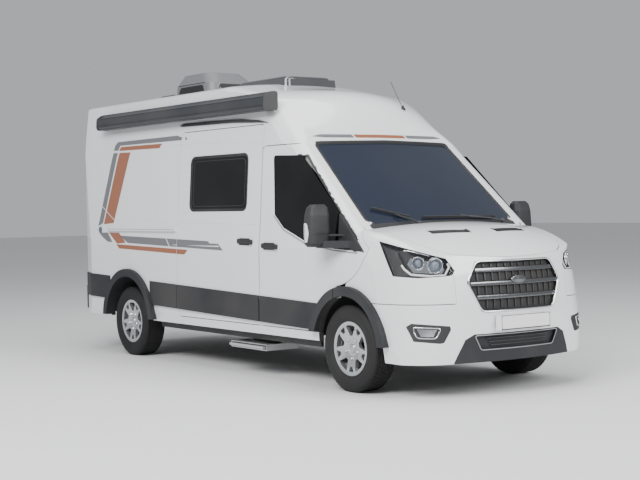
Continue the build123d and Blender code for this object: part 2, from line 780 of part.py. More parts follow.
# Mirrors: a sail plate in the front corner of the window, two arms and the housing
# z, length, width and y of the middle of each section
mirror_rows = (
    (1176, 92, 150, -1138),
    (1205, 138, 200, -1134),
    (1300, 150, 208, -1130),
    (1430, 140, 196, -1128),
    (1492, 112, 170, -1126),
    (1518, 66, 118, -1124),
)
mirror_x = 1768.0
with BuildPart() as mirror_part:
    for z, length, width, middle_y in mirror_rows:
        with BuildSketch(Plane.XY.offset(z)):
            with Locations((mirror_x, middle_y)):
                RectangleRounded(length, width, length * 0.36)
    loft(ruled=True)
    add(side_slab(0, sail_thickness) & right_window_hole
        & block((sail_rear_x, -1200, 1100), (2200, -800, 1500)))
    add(upright(polygon((1880, -978), (2040, -978), (2020, -1006), (1840, -1120), (1768, -1140),
                        (1768, -1070)),
                1166, 1224))
    add(upright(polygon((1884, -974), (1930, -974), (1810, -1090), (1768, -1110), (1768, -1080)), 1262,
                1277))
save_pair(mirror_part.part, "mirror")

# Wheels: each tyre and rim is drawn at the origin, its axle along y, its face towards -y
hub_face_offset = 50.0
tyre_sides = 60
# Half of the tyre's outline, from the bead out: distance across, radius
tyre_outline = ((85, rim_radius - 13), (85, rim_radius + 2), (tyre_width / 2, 260), (115, 306), (104, 338),
                (84, tyre_radius))


def tyre_point(across, radius, step):
    """A corner of the faceted tyre, whose flats touch the stated radius."""
    angle = 2 * pi * (step + 0.5) / tyre_sides
    reach = radius / cos(pi / tyre_sides)
    return (reach * cos(angle), across, reach * sin(angle))


with BuildPart() as tyre:
    loop = [(-y, radius) for y, radius in tyre_outline] + list(reversed(tyre_outline))
    facets = []
    for here, following in zip(loop, loop[1:] + loop[:1]):
        for step in range(tyre_sides):
            facets.append(Face(Wire.make_polygon([tyre_point(*here, step), tyre_point(*following, step),
                                                  tyre_point(*following, step + 1), tyre_point(*here,
                                                                                               step + 1)])))
    add(Solid(Shell(facets)))
def rim_window(angle, rows):
    """An opening between spokes: rows of radius and half angle, mirrored about its middle."""
    points = [(r, -half) for r, half in rows] + [(r, half) for r, half in reversed(rows)]
    return polygon(*[(r * cos(radians(angle + turn)), r * sin(radians(angle + turn))) for r,
                     turn in points])


with BuildPart() as rim:
    with BuildSketch(Plane.XY):
        with BuildLine():
            Polyline((219, 96), (219, 90), (205, 86), (197, 50), (197, -50), (205, -86), (219, -90),
                     (219, -96),
                     (200, -94), (188, -50), (188, 50), (200, 94), close=True)
        make_face()
        with BuildLine():
            Polyline((bore_radius, -hub_face_offset), (95, -hub_face_offset), (192, -60), (204, -92),
                     (160, -90),
                     (100, -82), (62, -74), (bore_radius, -74), close=True)
        make_face()
    revolve(axis=Axis.Y)
    with BuildSketch(Plane.XZ.offset(hub_face_offset - 10)):
        for k in range(spoke_count):
            add(rim_window(90 + 72 * k, ((106, 9), (150, 15), (189, 19), (192, 9))))
            add(rim_window(54 + 72 * k, ((146, 5), (187, 10), (190, 5))))
        with PolarLocations(bolt_circle / 2, bolt_count, start_angle=54):
            Circle(wheel_bolt_radius)
    extrude(amount=80, mode=Mode.SUBTRACT)
for name, side, axle_x in (("front_right", -1, front_axle_x), ("front_left", 1, front_axle_x),
                           ("rear_right", -1, rear_axle_x), ("rear_left", 1, rear_axle_x)):
    spot = Location((axle_x, side * half_track, tyre_radius), (0, 0, 0 if side < 0 else 180))
    save(spot * tyre.part, f"tyre_{name}")
    save(spot * rim.part, f"rim_{name}")

# Front knuckles: hub, brake disc, upright and the strut that it turns on
kingpin_y = 700.0
strut_top_z = 800.0
hub_face_y = half_track + hub_face_offset - 0.5
with BuildPart() as knuckle:
    with BuildSketch(Plane.XZ.offset(hub_face_y)):
        with Locations((front_axle_x, tyre_radius)):
            Circle(75)
    extrude(amount=-14)
    with BuildSketch(Plane.XZ.offset(hub_face_y - 14)):
        with Locations((front_axle_x, tyre_radius)):
            Circle(50)
    extrude(amount=-130)
    with BuildSketch(Plane.XZ.offset(hub_face_y - 40)):
        with Locations((front_axle_x, tyre_radius)):
            Circle(150)
    extrude(amount=-26)
    with Locations((front_axle_x, -kingpin_y - 40, tyre_radius + 10)):
        Box(70, 90, 200)
    with Locations((front_axle_x, -kingpin_y, (238 + strut_top_z) / 2)):
        Cylinder(28, strut_top_z - 238)
    with Locations((front_axle_x - 90, -kingpin_y, tyre_radius - 30)):
        Box(180, 30, 26)
save_pair(knuckle.part, "front_knuckle")

# Front subframe: cross beam, lower arms, and the towers that hold the struts' tops
with BuildPart() as front_subframe:
    with Locations((front_axle_x, 0, 280)):
        Box(180, 930, 70)
    for side in (-1, 1):
        with Locations((front_axle_x, side * (kingpin_y + 380) / 2, 224)):
            Box(90, kingpin_y - 380 + 60, 26)
        with Locations((front_axle_x, side * 350, 245)):
            Box(180, 80, 68)
        with Locations((front_axle_x, side * rail_half_spacing, 390)):
            Box(120, rail_width, 160)
        with Locations((front_axle_x, side * 565, (237 + strut_top_z + 16) / 2)):
            Box(100, 40, strut_top_z + 16 - 237)
        with Locations((front_axle_x, side * 652, strut_top_z + 8)):
            Box(120, 216, 16)
save(front_subframe.part, "front_subframe")

# Front wheel housings: a half drum and an inner wall on each side
liner_radius = 470.0
liner_thickness = 8.0
with BuildPart() as wheel_housings:
    for side in (-1, 1):
        for axle_x, radius, inner_y in ((front_axle_x, liner_radius, 535.0),
                                        (rear_axle_x, arch_radius_rear, 690.0)):
            with BuildSketch(Plane.XZ.offset(-side * inner_y)):
                with Locations((axle_x, tyre_radius)):
                    Circle(radius + liner_thickness)
                with Locations((axle_x, tyre_radius - 280)):
                    Rectangle(2.2 * radius, 700, mode=Mode.SUBTRACT)
            extrude(amount=-side * 385)
            with BuildSketch(Plane.XZ.offset(-side * (inner_y + liner_thickness))):
                with Locations((axle_x, tyre_radius)):
                    Circle(radius)
            extrude(amount=-side * 385, mode=Mode.SUBTRACT)
    add(inside, mode=Mode.INTERSECT)
    add(block((-2880, -1000, floor_z - floor_thickness), (1490, 1000, floor_z)), mode=Mode.SUBTRACT)
    add([cab_frame.part, block((1480, -540, floor_z - floor_thickness), (2012, 540, floor_z))],
        mode=Mode.SUBTRACT)
    add(front_subframe.part, mode=Mode.SUBTRACT)
save(wheel_housings.part, "wheel_housings")

# Rear axle: tube, differential, brake drums and hubs, leaf springs and their hangers
with BuildPart() as rear_axle:
    with Locations(Location((rear_axle_x, 0, tyre_radius), (90, 0, 0))):
        Cylinder(45, 2 * (hub_face_y - 10))
    with Locations((rear_axle_x, 0, tyre_radius)):
        Sphere(150)
    with Locations(Location(((1790 + rear_axle_x) / 2, 0, 400), (0, 90, 0))):
        Cylinder(40, 1790 - rear_axle_x)
    for side in (-1, 1):
        with Locations(Location((rear_axle_x, side * (hub_face_y - 7), tyre_radius), (90, 0, 0))):
            Cylinder(75, 14)
        with Locations(Location((rear_axle_x, side * (hub_face_y - 55), tyre_radius), (90, 0, 0))):
            Cylinder(150, 50)
        with BuildSketch(Plane.XZ.offset(-side * 560 + 35)):
            with BuildLine():
                ThreePointArc((rear_axle_x - 640, 500), (rear_axle_x, 390), (rear_axle_x + 640, 500))
                Line((rear_axle_x + 640, 500), (rear_axle_x + 640, 530))
                ThreePointArc((rear_axle_x + 640, 530), (rear_axle_x, 420), (rear_axle_x - 640, 530))
                Line((rear_axle_x - 640, 530), (rear_axle_x - 640, 500))
            make_face()
        extrude(amount=-70)
        for end in (-1, 1):
            with Locations((rear_axle_x + end * 630, side * 535, 528)):
                Box(60, 140, 60)
save(rear_axle.part, "rear_axle")

# Engine with its gearbox, and the radiator, as plain blocks
radiator_x = 2788.0
radiator_thickness = 36.0
with BuildPart() as engine:
    with Locations((2380, 0, 720)):
        Box(600, 520, 560)
    with Locations((1950, 0, 470)):
        Box(300, 280, 220)
    with Locations((radiator_x, 0, 700)):
        Box(radiator_thickness, 720, 500)
save(engine.part, "engine")

# Tanks and exhaust
with BuildPart() as tanks:
    with Locations((250, 670, 460)):
        Box(900, 380, 230)
    with Locations((-700, -665, 460)):
        Box(600, 380, 230)
    fillet(tanks.edges().filter_by(Axis.X), 40)
save(tanks.part, "tanks")
with BuildPart() as exhaust:
    with Locations(Location((300, -250, 400), (0, 90, 0))):
        Cylinder(78, 700)
    with Locations(Location((-400, -250, 440), (0, 90, 0))):
        Cylinder(28, 3300)
    for x in (-1950, 900):
        with Locations((x, -250, 505)):
            Box(30, 20, 150)
save(exhaust.part, "exhaust")

# Entry step under the sliding door: a housing and a tread that slides out of it
step_x = (150.0, 738.0)
with BuildPart() as step_housing:
    add(block((step_x[0], -960, 236), (step_x[1], -620, 292)))
    add(block((step_x[0] + 8, -1000, 246), (step_x[1] - 8, -630, 284)), mode=Mode.SUBTRACT)
    for x in (step_x[0] + 30, step_x[1] - 60):
        add(block((x, -760, 292), (x + 30, -700, 500)))
save(step_housing.part, "step_housing")
with BuildPart() as step_tread:
    add(block((step_x[0] + 16, -990, 254), (step_x[1] - 16, -650, 276)))
save(step_tread.part, "step_tread")

# Cab: dashboard with the steering wheel, and the seats
wheel_tilt = 62
with BuildPart() as dashboard:
    with BuildSketch(Plane.XZ):
        with BuildLine():
            Polyline((1955, 900), (1700, 900), (1680, 1090), (1760, 1180), (1955, 1215), close=True)
        make_face()
    extrude(amount=880, both=True)
    with Locations((1800, 0, 780)):
        Box(300, 300, 280)
    with Locations(Location((1560, 410, 1120), (0, wheel_tilt - 90, 0))):
        with Locations(Location((0, 0, 0), (0, 90, 0))):
            Torus(200, 15)
            Cylinder(60, 30)
            for turn in (0, 90, 180):
                with Locations(Location((0, 0, 0), (0, 0, turn))):
                    Box(24, 380, 14)
        with Locations(Location((90, 0, 0), (0, 90, 0))):
            Cylinder(25, 180)
save(dashboard.part, "dashboard")
# centre x and z, length, width, height, lean, rounding
cushions = (
    (1180, 990, 520, 500, 140, 0, 45),
    (890, 1330, 130, 480, 640, -12, 45),
    (818, 1745, 100, 270, 190, -12, 40),
)
with BuildPart() as cab_seats:
    for y in (-430, 430):
        with Locations((1130, y, 790)):
            Box(380, 380, 300)
        for x, z, length, width, height, lean, rounding in cushions:
            with BuildPart(mode=Mode.PRIVATE) as cushion:
                Box(length, width, height)
                fillet(cushion.edges(), rounding)
            add(Location((x, y, z), (0, lean, 0)) * cushion.part)
        with Locations(Location((840, y, 1650), (0, -12, 0))):
            Box(20, 140, 140)
save(cab_seats.part, "cab_seats")
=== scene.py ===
import json
import math

import bmesh
import bpy
from mathutils import Matrix, Vector
from mathutils.bvhtree import BVHTree


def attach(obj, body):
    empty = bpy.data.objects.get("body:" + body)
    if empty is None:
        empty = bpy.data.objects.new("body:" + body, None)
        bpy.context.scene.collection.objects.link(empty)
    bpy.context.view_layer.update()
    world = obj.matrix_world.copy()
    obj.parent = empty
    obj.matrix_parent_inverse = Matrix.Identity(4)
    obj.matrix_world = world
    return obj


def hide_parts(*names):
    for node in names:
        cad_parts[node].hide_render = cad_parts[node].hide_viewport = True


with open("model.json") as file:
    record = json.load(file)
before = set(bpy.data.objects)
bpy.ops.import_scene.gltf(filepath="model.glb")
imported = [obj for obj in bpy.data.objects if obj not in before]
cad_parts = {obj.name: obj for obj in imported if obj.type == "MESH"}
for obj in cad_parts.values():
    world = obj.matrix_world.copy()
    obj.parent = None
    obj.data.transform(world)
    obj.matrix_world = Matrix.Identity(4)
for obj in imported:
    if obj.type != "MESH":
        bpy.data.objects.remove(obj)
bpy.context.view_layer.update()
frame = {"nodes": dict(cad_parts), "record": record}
nodes = frame["nodes"]
print("frame loaded:", len(nodes), "nodes")


def newGroup(name, inputs, outputs):
    group = bpy.data.node_groups.new(name, "ShaderNodeTree")
    for socketName, kind, value in inputs:
        socket = group.interface.new_socket(socketName, in_out="INPUT", socket_type=kind)
        if value is not None:
            socket.default_value = value
    for socketName, kind in outputs:
        group.interface.new_socket(socketName, in_out="OUTPUT", socket_type=kind)
    start = group.nodes.new("NodeGroupInput")
    end = group.nodes.new("NodeGroupOutput")
    return group, start, end


def addNode(group, kind, joins, operation=None):
    # a shader node in a group, with its inputs joined to other nodes' outputs
    node = group.nodes.new(kind)
    if operation:
        node.operation = operation
    for place, source in joins.items():
        group.links.new(source, node.inputs[place])
    return node


def addNoise(group, start, detail):
    place = group.nodes.new("ShaderNodeTexCoord")
    noise = addNode(group, "ShaderNodeTexNoise",
                    {"Vector": place.outputs["Object"], "Scale": start.outputs["Scale"]})
    noise.inputs["Detail"].default_value = detail
    return noise.outputs["Fac"]


def surfaceWear():
    # colour broken up by soft dirt, and a roughness that follows it
    group, start, end = newGroup(
        "surfaceWear",
        [("Colour", "NodeSocketColor", (0.8, 0.8, 0.8, 1)),
         ("Dirt Colour", "NodeSocketColor", (0.3, 0.28, 0.25, 1)), ("Amount", "NodeSocketFloat", 0.1),
         ("Scale", "NodeSocketFloat", 2.0), ("Roughness", "NodeSocketFloat", 0.4),
         ("Roughness Spread", "NodeSocketFloat", 0.1)],
        [("Colour", "NodeSocketColor"), ("Roughness", "NodeSocketFloat")])
    noise, given = addNoise(group, start, 8), start.outputs
    ramp = addNode(group, "ShaderNodeValToRGB", {"Fac": noise})
    for element, position in zip(ramp.color_ramp.elements, (0.42, 0.72)):
        element.position = position
    strength = addNode(group, "ShaderNodeMath", {0: ramp.outputs["Color"], 1: given["Amount"]}, "MULTIPLY")
    mix = addNode(group, "ShaderNodeMixRGB",
                  {"Fac": strength.outputs[0], 1: given["Colour"], 2: given["Dirt Colour"]})
    spread = addNode(group, "ShaderNodeMath", {0: noise, 1: given["Roughness Spread"],
                                               2: given["Roughness"]}, "MULTIPLY_ADD")
    group.links.new(mix.outputs[0], end.inputs["Colour"])
    group.links.new(spread.outputs[0], end.inputs["Roughness"])
    return group


def fineGrain():
    # a height for a Bump node: moulded or cast grain
    group, start, end = newGroup(
        "fineGrain", [("Scale", "NodeSocketFloat", 400.0), ("Depth", "NodeSocketFloat", 0.3)],
        [("Height", "NodeSocketFloat")])
    scaled = addNode(group, "ShaderNodeMath", {0: addNoise(group, start, 3), 1: start.outputs["Depth"]},
                     "MULTIPLY")
    group.links.new(scaled.outputs[0], end.inputs["Height"])
    return group


wearGroup = surfaceWear()
grainGroup = fineGrain()


def addGroup(tree, group, values):
    node = tree.nodes.new("ShaderNodeGroup")
    node.node_tree = group
    for key, value in values.items():
        node.inputs[key].default_value = value
    return node


def makeMaterial(name, colour, roughness, metallic=0.0, coat=0.0, coatRoughness=0.05, dirt=0.08,
                 dirtColour=(0.25, 0.23, 0.2), dirtScale=1.5, spread=0.08, grain=0.0, grainScale=500.0,
                 grainDistance=0.0004, transmission=0.0, ior=1.5, specular=0.5, alpha=1.0):
    material = bpy.data.materials.new(name)
    material.use_nodes = True
    tree = material.node_tree
    shader = tree.nodes["Principled BSDF"]
    for key, value in (("Metallic", metallic), ("Coat Weight", coat), ("Coat Roughness", coatRoughness),
                       ("Transmission Weight", transmission), ("IOR", ior),
                       ("Specular IOR Level", specular), ("Alpha", alpha)):
        shader.inputs[key].default_value = value
    wear = addGroup(tree, wearGroup, {
        "Colour": (*colour, 1), "Dirt Colour": (*dirtColour, 1), "Amount": dirt, "Scale": dirtScale,
        "Roughness": max(0.02, roughness - spread / 2), "Roughness Spread": spread})
    tree.links.new(wear.outputs["Colour"], shader.inputs["Base Color"])
    tree.links.new(wear.outputs["Roughness"], shader.inputs["Roughness"])
    if grain:
        grainNode = addGroup(tree, grainGroup, {"Scale": grainScale, "Depth": grain})
        bump = tree.nodes.new("ShaderNodeBump")
        bump.inputs["Distance"].default_value = grainDistance
        tree.links.new(grainNode.outputs["Height"], bump.inputs["Height"])
        tree.links.new(bump.outputs["Normal"], shader.inputs["Normal"])
    return material


# material name, colour, roughness, and what else its finish has
finishForms = {
    # finishes of the CAD pieces, one for each slot of the record
    "body_white": ("whitePaint", (0.79, 0.80, 0.815), 0.30, {"coat": 1.0, "dirt": 0.05, "spread": 0.04}),
    "dark_trim": ("darkTrim", (0.020, 0.021, 0.024), 0.58,
                  {"grain": 0.5, "grainScale": 700, "dirt": 0.12, "specular": 0.35}),
    "side_glass": ("sideGlass", (0.0025, 0.003, 0.0035), 0.05,
                   {"dirt": 0.02, "spread": 0.02, "specular": 0.28}),
    "windscreen_glass": ("windscreenGlass", (0.020, 0.028, 0.050), 0.04,
                         {"dirt": 0.02, "spread": 0.02, "transmission": 0.35, "specular": 0.35}),
    "awning_grey": ("awningPaint", (0.028, 0.031, 0.036), 0.40, {"dirt": 0.1}),
    "roof_unit_white": ("roofPlastic", (0.72, 0.72, 0.71), 0.45, {"dirt": 0.2}),
    "grille_chrome": ("grilleChrome", (0.5, 0.51, 0.53), 0.18, {"metallic": 1.0}),
    "lamp_clear": ("lampClear", (0.05, 0.055, 0.06), 0.04, {"coat": 0.6, "spread": 0.02, "alpha": 0.10}),
    "lamp_red": ("lampRed", (0.42, 0.008, 0.008), 0.12, {"coat": 1.0}),
    "chassis_black": ("chassisBlack", (0.02, 0.02, 0.021), 0.6, {"dirt": 0.4}),
    "bare_iron": ("bareIron", (0.12, 0.115, 0.11), 0.55,
                  {"metallic": 0.8, "dirt": 0.4, "dirtColour": (0.18, 0.09, 0.05)}),
    "engine_metal": ("engineMetal", (0.25, 0.25, 0.25), 0.5, {"metallic": 0.8, "dirt": 0.3}),
    "tank_plastic": ("tankPlastic", (0.02, 0.02, 0.021), 0.6, {"dirt": 0.3}),
    "exhaust_steel": ("exhaustSteel", (0.25, 0.24, 0.23), 0.45, {"metallic": 0.9, "dirt": 0.3}),
    "step_aluminium": ("stepAluminium", (0.6, 0.61, 0.62), 0.35, {"metallic": 0.9}),
    "cab_plastic": ("cabPlastic", (0.022, 0.023, 0.026), 0.6, {"grain": 0.4}),
    "seat_fabric": ("seatFabric", (0.05, 0.05, 0.055), 0.9, {"grain": 0.8, "grainScale": 1500}),
    "tyre_rubber": ("tyreRubber", (0.012, 0.012, 0.013), 0.72,
                    {"grain": 0.3, "dirt": 0.25, "dirtColour": (0.06, 0.056, 0.052), "specular": 0.35}),
    "wheel_alloy": ("wheelAlloy", (0.50, 0.51, 0.53), 0.28, {"metallic": 0.8, "coat": 0.5}),

    # and finishes of the pieces added here
    "stripeGrey": ("stripeGrey", (0.135, 0.138, 0.150), 0.38, {"coat": 0.4, "dirt": 0.05, "spread": 0.06}),
    "stripeCopper": ("stripeCopper", (0.33, 0.115, 0.055), 0.36,
                     {"metallic": 0.2, "coat": 0.4, "dirt": 0.05, "spread": 0.06}),
    "rubber": ("sealRubber", (0.012, 0.012, 0.013), 0.62, {"dirt": 0.12, "spread": 0.12}),
    "satinBlack": ("satinBlack", (0.022, 0.023, 0.025), 0.42,
                   {"grain": 0.3, "grainScale": 900, "dirt": 0.1}),
    "satinGrey": ("satinGrey", (0.28, 0.285, 0.29), 0.42, {"dirt": 0.1}),
    "blackMesh": ("blackMesh", (0.010, 0.010, 0.011), 0.65, {"dirt": 0.1, "spread": 0.1}),
    "lightBar": ("lightBar", (0.93, 0.94, 0.96), 0.22, {"coat": 1.0, "dirt": 0.02}),
    "brightRim": ("brightRim", (0.82, 0.83, 0.85), 0.14, {"metallic": 1.0, "dirt": 0.04}),
    "darkChrome": ("darkChrome", (0.20, 0.205, 0.215), 0.22, {"metallic": 1.0, "dirt": 0.06}),
    "reflector": ("lampReflector", (0.75, 0.77, 0.80), 0.12, {"metallic": 1.0, "dirt": 0.03}),
    "archBlack": ("archLining", (0.014, 0.014, 0.015), 0.75, {"dirt": 0.3, "grain": 0.5}),
    "lampBlack": ("lampSurround", (0.030, 0.032, 0.036), 0.3, {"metallic": 0.3, "dirt": 0.05}),
    "doorTrim": ("doorTrim", (0.030, 0.031, 0.034), 0.65, {"grain": 0.5, "dirt": 0.1}),
    "lining": ("wallLining", (0.52, 0.50, 0.46), 0.8, {"grain": 0.4, "dirt": 0.08}),
    "projector": ("lampProjector", (0.22, 0.25, 0.30), 0.05, {"coat": 1.0, "dirt": 0.02, "spread": 0.03}),
    "whiteLens": ("whiteLens", (0.72, 0.74, 0.76), 0.15, {"coat": 0.8, "dirt": 0.04}),
    "amberLens": ("amberLens", (0.75, 0.22, 0.02), 0.15, {"coat": 0.8, "dirt": 0.04}),
    "plateWhite": ("plateWhite", (0.82, 0.82, 0.80), 0.40, {"dirt": 0.08}),
    "mirrorSilver": ("mirrorSilver", (0.88, 0.89, 0.90), 0.03,
                     {"metallic": 1.0, "dirt": 0.02, "spread": 0.02}),
    "capBlue": ("inletCapPlastic", (0.09, 0.11, 0.15), 0.45, {"dirt": 0.1}),
    "coolerGrey": ("coolerGrey", (0.14, 0.146, 0.155), 0.42, {"dirt": 0.15}),
    "smokedDome": ("smokedDome", (0.05, 0.052, 0.056), 0.10, {"coat": 0.8, "dirt": 0.1, "spread": 0.05}),
    "nutSteel": ("nutSteel", (0.55, 0.555, 0.56), 0.32, {"metallic": 0.9, "dirt": 0.15}),
}
finishes = {key: makeMaterial(name, colour, roughness, **more)
            for key, (name, colour, roughness, more) in finishForms.items()}
ownFinish = {"air_conditioner": "coolerGrey", "grille": "blackMesh",
             "roof_lights": "smokedDome", "lamp_housings": "lampBlack"}
slotOf = {part["node"]: part["material_slot"] for part in frame["record"]["subparts"]}
for name, node in nodes.items():
    node.data.materials.clear()
    node.data.materials.append(finishes[ownFinish.get(name, slotOf[name])])


def nearLine(point, outline, reach):
    # whether a flat point lies within reach of a closed outline
    for i in range(len(outline)):
        start, end = Vector(outline[i - 1]), Vector(outline[i])
        run = end - start
        t = min(1.0, max(0.0, (point - start).dot(run) / run.length_squared))
        if (start + run * t - point).length < reach:
            return True
    return False


# window openings: x, z on the sides, and y, z at the front and back
doorWindow = ((0.865, 1.952), (1.290, 1.938), (2.192, 1.138), (1.807, 1.156), (1.380, 1.214),
              (1.060, 1.322), (0.912, 1.436))
sideBox = ((-0.550, 1.480), (0.450, 1.480), (0.450, 1.985), (-0.550, 1.985))
screenOpening = ((-0.742, 2.052), (0.0, 2.068), (0.742, 2.052), (0.800, 1.350), (0.0, 1.372),
                 (-0.800, 1.350))
rearWindow = {"middle": (0.405, 1.700), "half": (0.25, 0.27)}


def rearBox(side):
    (middle, height), (wide, tall) = rearWindow["middle"], rearWindow["half"]
    return [(side * middle + a * wide, height + b * tall) for a, b in ((-1, -1), (1, -1), (1, 1), (-1, 1))]


def paintFaces(name, finish, chosen):
    # another finish on some faces of a CAD piece; chosen says which, from the face and its corners
    panel = nodes[name].data
    panel.materials.append(finishes[finish])
    slot = len(panel.materials) - 1
    for face in panel.polygons:
        if chosen(face, [panel.vertices[i].co for i in face.vertices]):
            face.material_index = slot


# the cut edges round each window are black, like the frame that is bonded in them
reveal = {
    "reach": 0.014,
    # axis that runs along the panel, and the opening
    "openings": {
        "front_door_right": (0, doorWindow), "front_door_left": (0, doorWindow),
        "sliding_door": (0, sideBox), "side_wall_left": (0, sideBox),
        "cab_frame": (1, screenOpening),
        "rear_door_right": (1, rearBox(-1)), "rear_door_left": (1, rearBox(1)),
    },
}
for name, (axis, outline) in reveal["openings"].items():
    paintFaces(name, "rubber", lambda face, corners: all(
        nearLine(Vector((corner[axis], corner.z)), outline, reveal["reach"]) for corner in corners))

# inside faces are trimmed: dark plastic on the cab doors, a pale lining in the living space
trimmed = {
    "facing": 0.75,       # how squarely a face looks inwards
    "panels": {
        "front_door_right": ((0, 1, 0), "doorTrim"), "front_door_left": ((0, -1, 0), "doorTrim"),
        "side_wall_right": ((0, 1, 0), "lining"), "side_wall_left": ((0, -1, 0), "lining"),
        "sliding_door": ((0, 1, 0), "lining"), "roof": ((0, 0, -1), "lining"),
        "rear_door_right": ((1, 0, 0), "lining"), "rear_door_left": ((1, 0, 0), "lining"),
    },
}
for name, (inward, finish) in trimmed["panels"].items():
    paintFaces(name, finish, lambda face, corners: face.normal.dot(Vector(inward)) > trimmed["facing"])

# the painted panels are black where they turn in at the wheel arches
axleX = {"front": 1.9675, "rear": -1.7825}
wheelHub = {"across": 0.868, "height": 0.352}
arch = {
    "reach": 0.475, "turnedIn": 0.6,
    "panels": ("front_wing_right", "front_wing_left", "front_door_right", "front_door_left",
               "side_wall_right", "side_wall_left", "front_bumper", "sliding_door", "cab_frame"),
}


def inArch(face, corners):
    if abs(face.normal.y) >= arch["turnedIn"]:
        return False
    return any(max(math.hypot(corner.x - x, corner.z - wheelHub["height"]) for corner in corners)
               < arch["reach"] for x in axleX.values())


for name in arch["panels"]:
    paintFaces(name, "archBlack", inArch)
print("materials set")


def treeOf(*names):
    # the outer faces of one or more nodes, to lay pieces on
    points, faces = [], []
    for name in names:
        mesh = nodes[name].data
        first = len(points)
        points += [vertex.co.copy() for vertex in mesh.vertices]
        faces += [tuple(first + i for i in face.vertices) for face in mesh.polygons]
    return BVHTree.FromPolygons(points, faces)


def onSide(tree, side):
    # x, z -> a point on the side, and its outward normal
    def cast(x, z):
        hit, normal, _, _ = tree.ray_cast(Vector((x, side * 3, z)), Vector((0, -side, 0)))
        return (hit, normal) if hit else None
    return cast


def onFront(tree, fromX=4.0, towards=-1):
    # y, z -> a point on the front, or on the back with towards=1
    def cast(y, z):
        hit, normal, _, _ = tree.ray_cast(Vector((fromX, y, z)), Vector((towards, 0, 0)))
        return (hit, normal) if hit else None
    return cast


def onTop(tree):
    # x, y -> a point on the top
    def cast(x, y):
        hit, normal, _, _ = tree.ray_cast(Vector((x, y, 4)), Vector((0, 0, -1)))
        return (hit, normal) if hit else None
    return cast


lampTurn = math.radians(45)
sides = ((-1, "Right", "right"), (1, "Left", "left"))


def onLamp(tree, side):
    # distance along the lamp, height -> a point on a headlamp's cover
    along = Vector((math.sin(lampTurn), -side * math.cos(lampTurn), 0))
    outward = Vector((math.cos(lampTurn), side * math.sin(lampTurn), 0))

    def cast(reach, height):
        hit, normal, _, _ = tree.ray_cast(along * reach + outward * 4 + Vector((0, 0, height)), -outward)
        return (hit, normal) if hit else None
    return cast


def rounded(outline, radius, steps=4):
    # a closed outline with its corners rounded
    result = []
    count = len(outline)
    for i in range(count):
        corner = Vector(outline[i])
        before = Vector(outline[i - 1]) - corner
        after = Vector(outline[(i + 1) % count]) - corner
        reach = min(radius, before.length * 0.45, after.length * 0.45)
        start, end = corner + before.normalized() * reach, corner + after.normalized() * reach
        for step in range(steps + 1):
            t = step / steps
            result.append(tuple(start * (1 - t) ** 2 + corner * 2 * t * (1 - t) + end * t ** 2))
    return result


# slots of finishes that aren't dark trim
slotFor = {"brightRim": "grille_chrome", "darkChrome": "grille_chrome", "reflector": "grille_chrome",
           "mirrorSilver": "grille_chrome", "lightBar": "lamp_clear", "projector": "lamp_clear",
           "stripeGrey": "awning_grey", "stripeCopper": "awning_grey", "plateWhite": "body_white",
           "body_white": "body_white", "lamp_red": "lamp_red", "amberLens": "lamp_red",
           "smokedDome": "side_glass", "nutSteel": "wheel_alloy", "tyre_rubber": "tyre_rubber"}


def finishPiece(piece, finish, body="body", slot=None):
    piece.data.materials.append(finishes[finish])
    bpy.context.scene.collection.objects.link(piece)
    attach(piece, body)
    slot or slotFor.get(finish, "dark_trim")
    return piece


def meshPiece(name, points, faces, finish, body="body", slot=None, smooth=True):
    mesh = bpy.data.meshes.new(name)
    mesh.from_pydata([tuple(point) for point in points], [], faces)
    mesh.validate()
    if smooth:
        mesh.polygons.foreach_set("use_smooth", [True] * len(mesh.polygons))
    return finishPiece(bpy.data.objects.new(name, mesh), finish, body, slot)


def skinPatch(name, outline, cast, lift, finish, body="body", slot=None, cell=0.05,
              thickness=0.0, edge=0.0):
    # a sheet laid on the surface inside an outline, with a solid edge where it has a thickness
    sheet = bmesh.new()
    face = sheet.faces.new([sheet.verts.new((u, v, 0)) for u, v in outline])
    lows = [min(point[i] for point in outline) for i in (0, 1)]
    highs = [max(point[i] for point in outline) for i in (0, 1)]
    for axis in (0, 1):
        cuts = int((highs[axis] - lows[axis]) / cell)
        for k in range(1, cuts + 1):
            place, normal = [0, 0, 0], [0, 0, 0]
            place[axis], normal[axis] = lows[axis] + k * cell, 1
            bmesh.ops.bisect_plane(sheet, geom=sheet.verts[:] + sheet.edges[:] + sheet.faces[:],
                                   plane_co=place, plane_no=normal)
    bmesh.ops.triangulate(sheet, faces=[f for f in sheet.faces if len(f.verts) > 4])
    lost, outward = [], None
    for vertex in sheet.verts:
        found = cast(vertex.co.x, vertex.co.y)
        if found is None:
            lost.append(vertex)
            continue
        outward = found[1]
        vertex.co = found[0] + found[1] * lift
    bmesh.ops.delete(sheet, geom=lost, context="VERTS")
    sheet.normal_update()
    if outward and sheet.faces:
        sheet.faces.ensure_lookup_table()
        if sum(f.normal.dot(outward) for f in sheet.faces) < 0:
            bmesh.ops.reverse_faces(sheet, faces=sheet.faces[:])
    mesh = bpy.data.meshes.new(name)
    sheet.to_mesh(mesh)
    sheet.free()
    mesh.polygons.foreach_set("use_smooth", [True] * len(mesh.polygons))
    piece = bpy.data.objects.new(name, mesh)
    if thickness:
        solid = piece.modifiers.new("thickness", "SOLIDIFY")
        solid.thickness = thickness
        solid.offset = 1
        if edge:
            bevel = piece.modifiers.new("edge", "BEVEL")
            bevel.width = edge
            bevel.segments = 3
            bevel.limit_method = "ANGLE"
            bevel.angle_limit = math.radians(50)
    return finishPiece(piece, finish, body, slot)


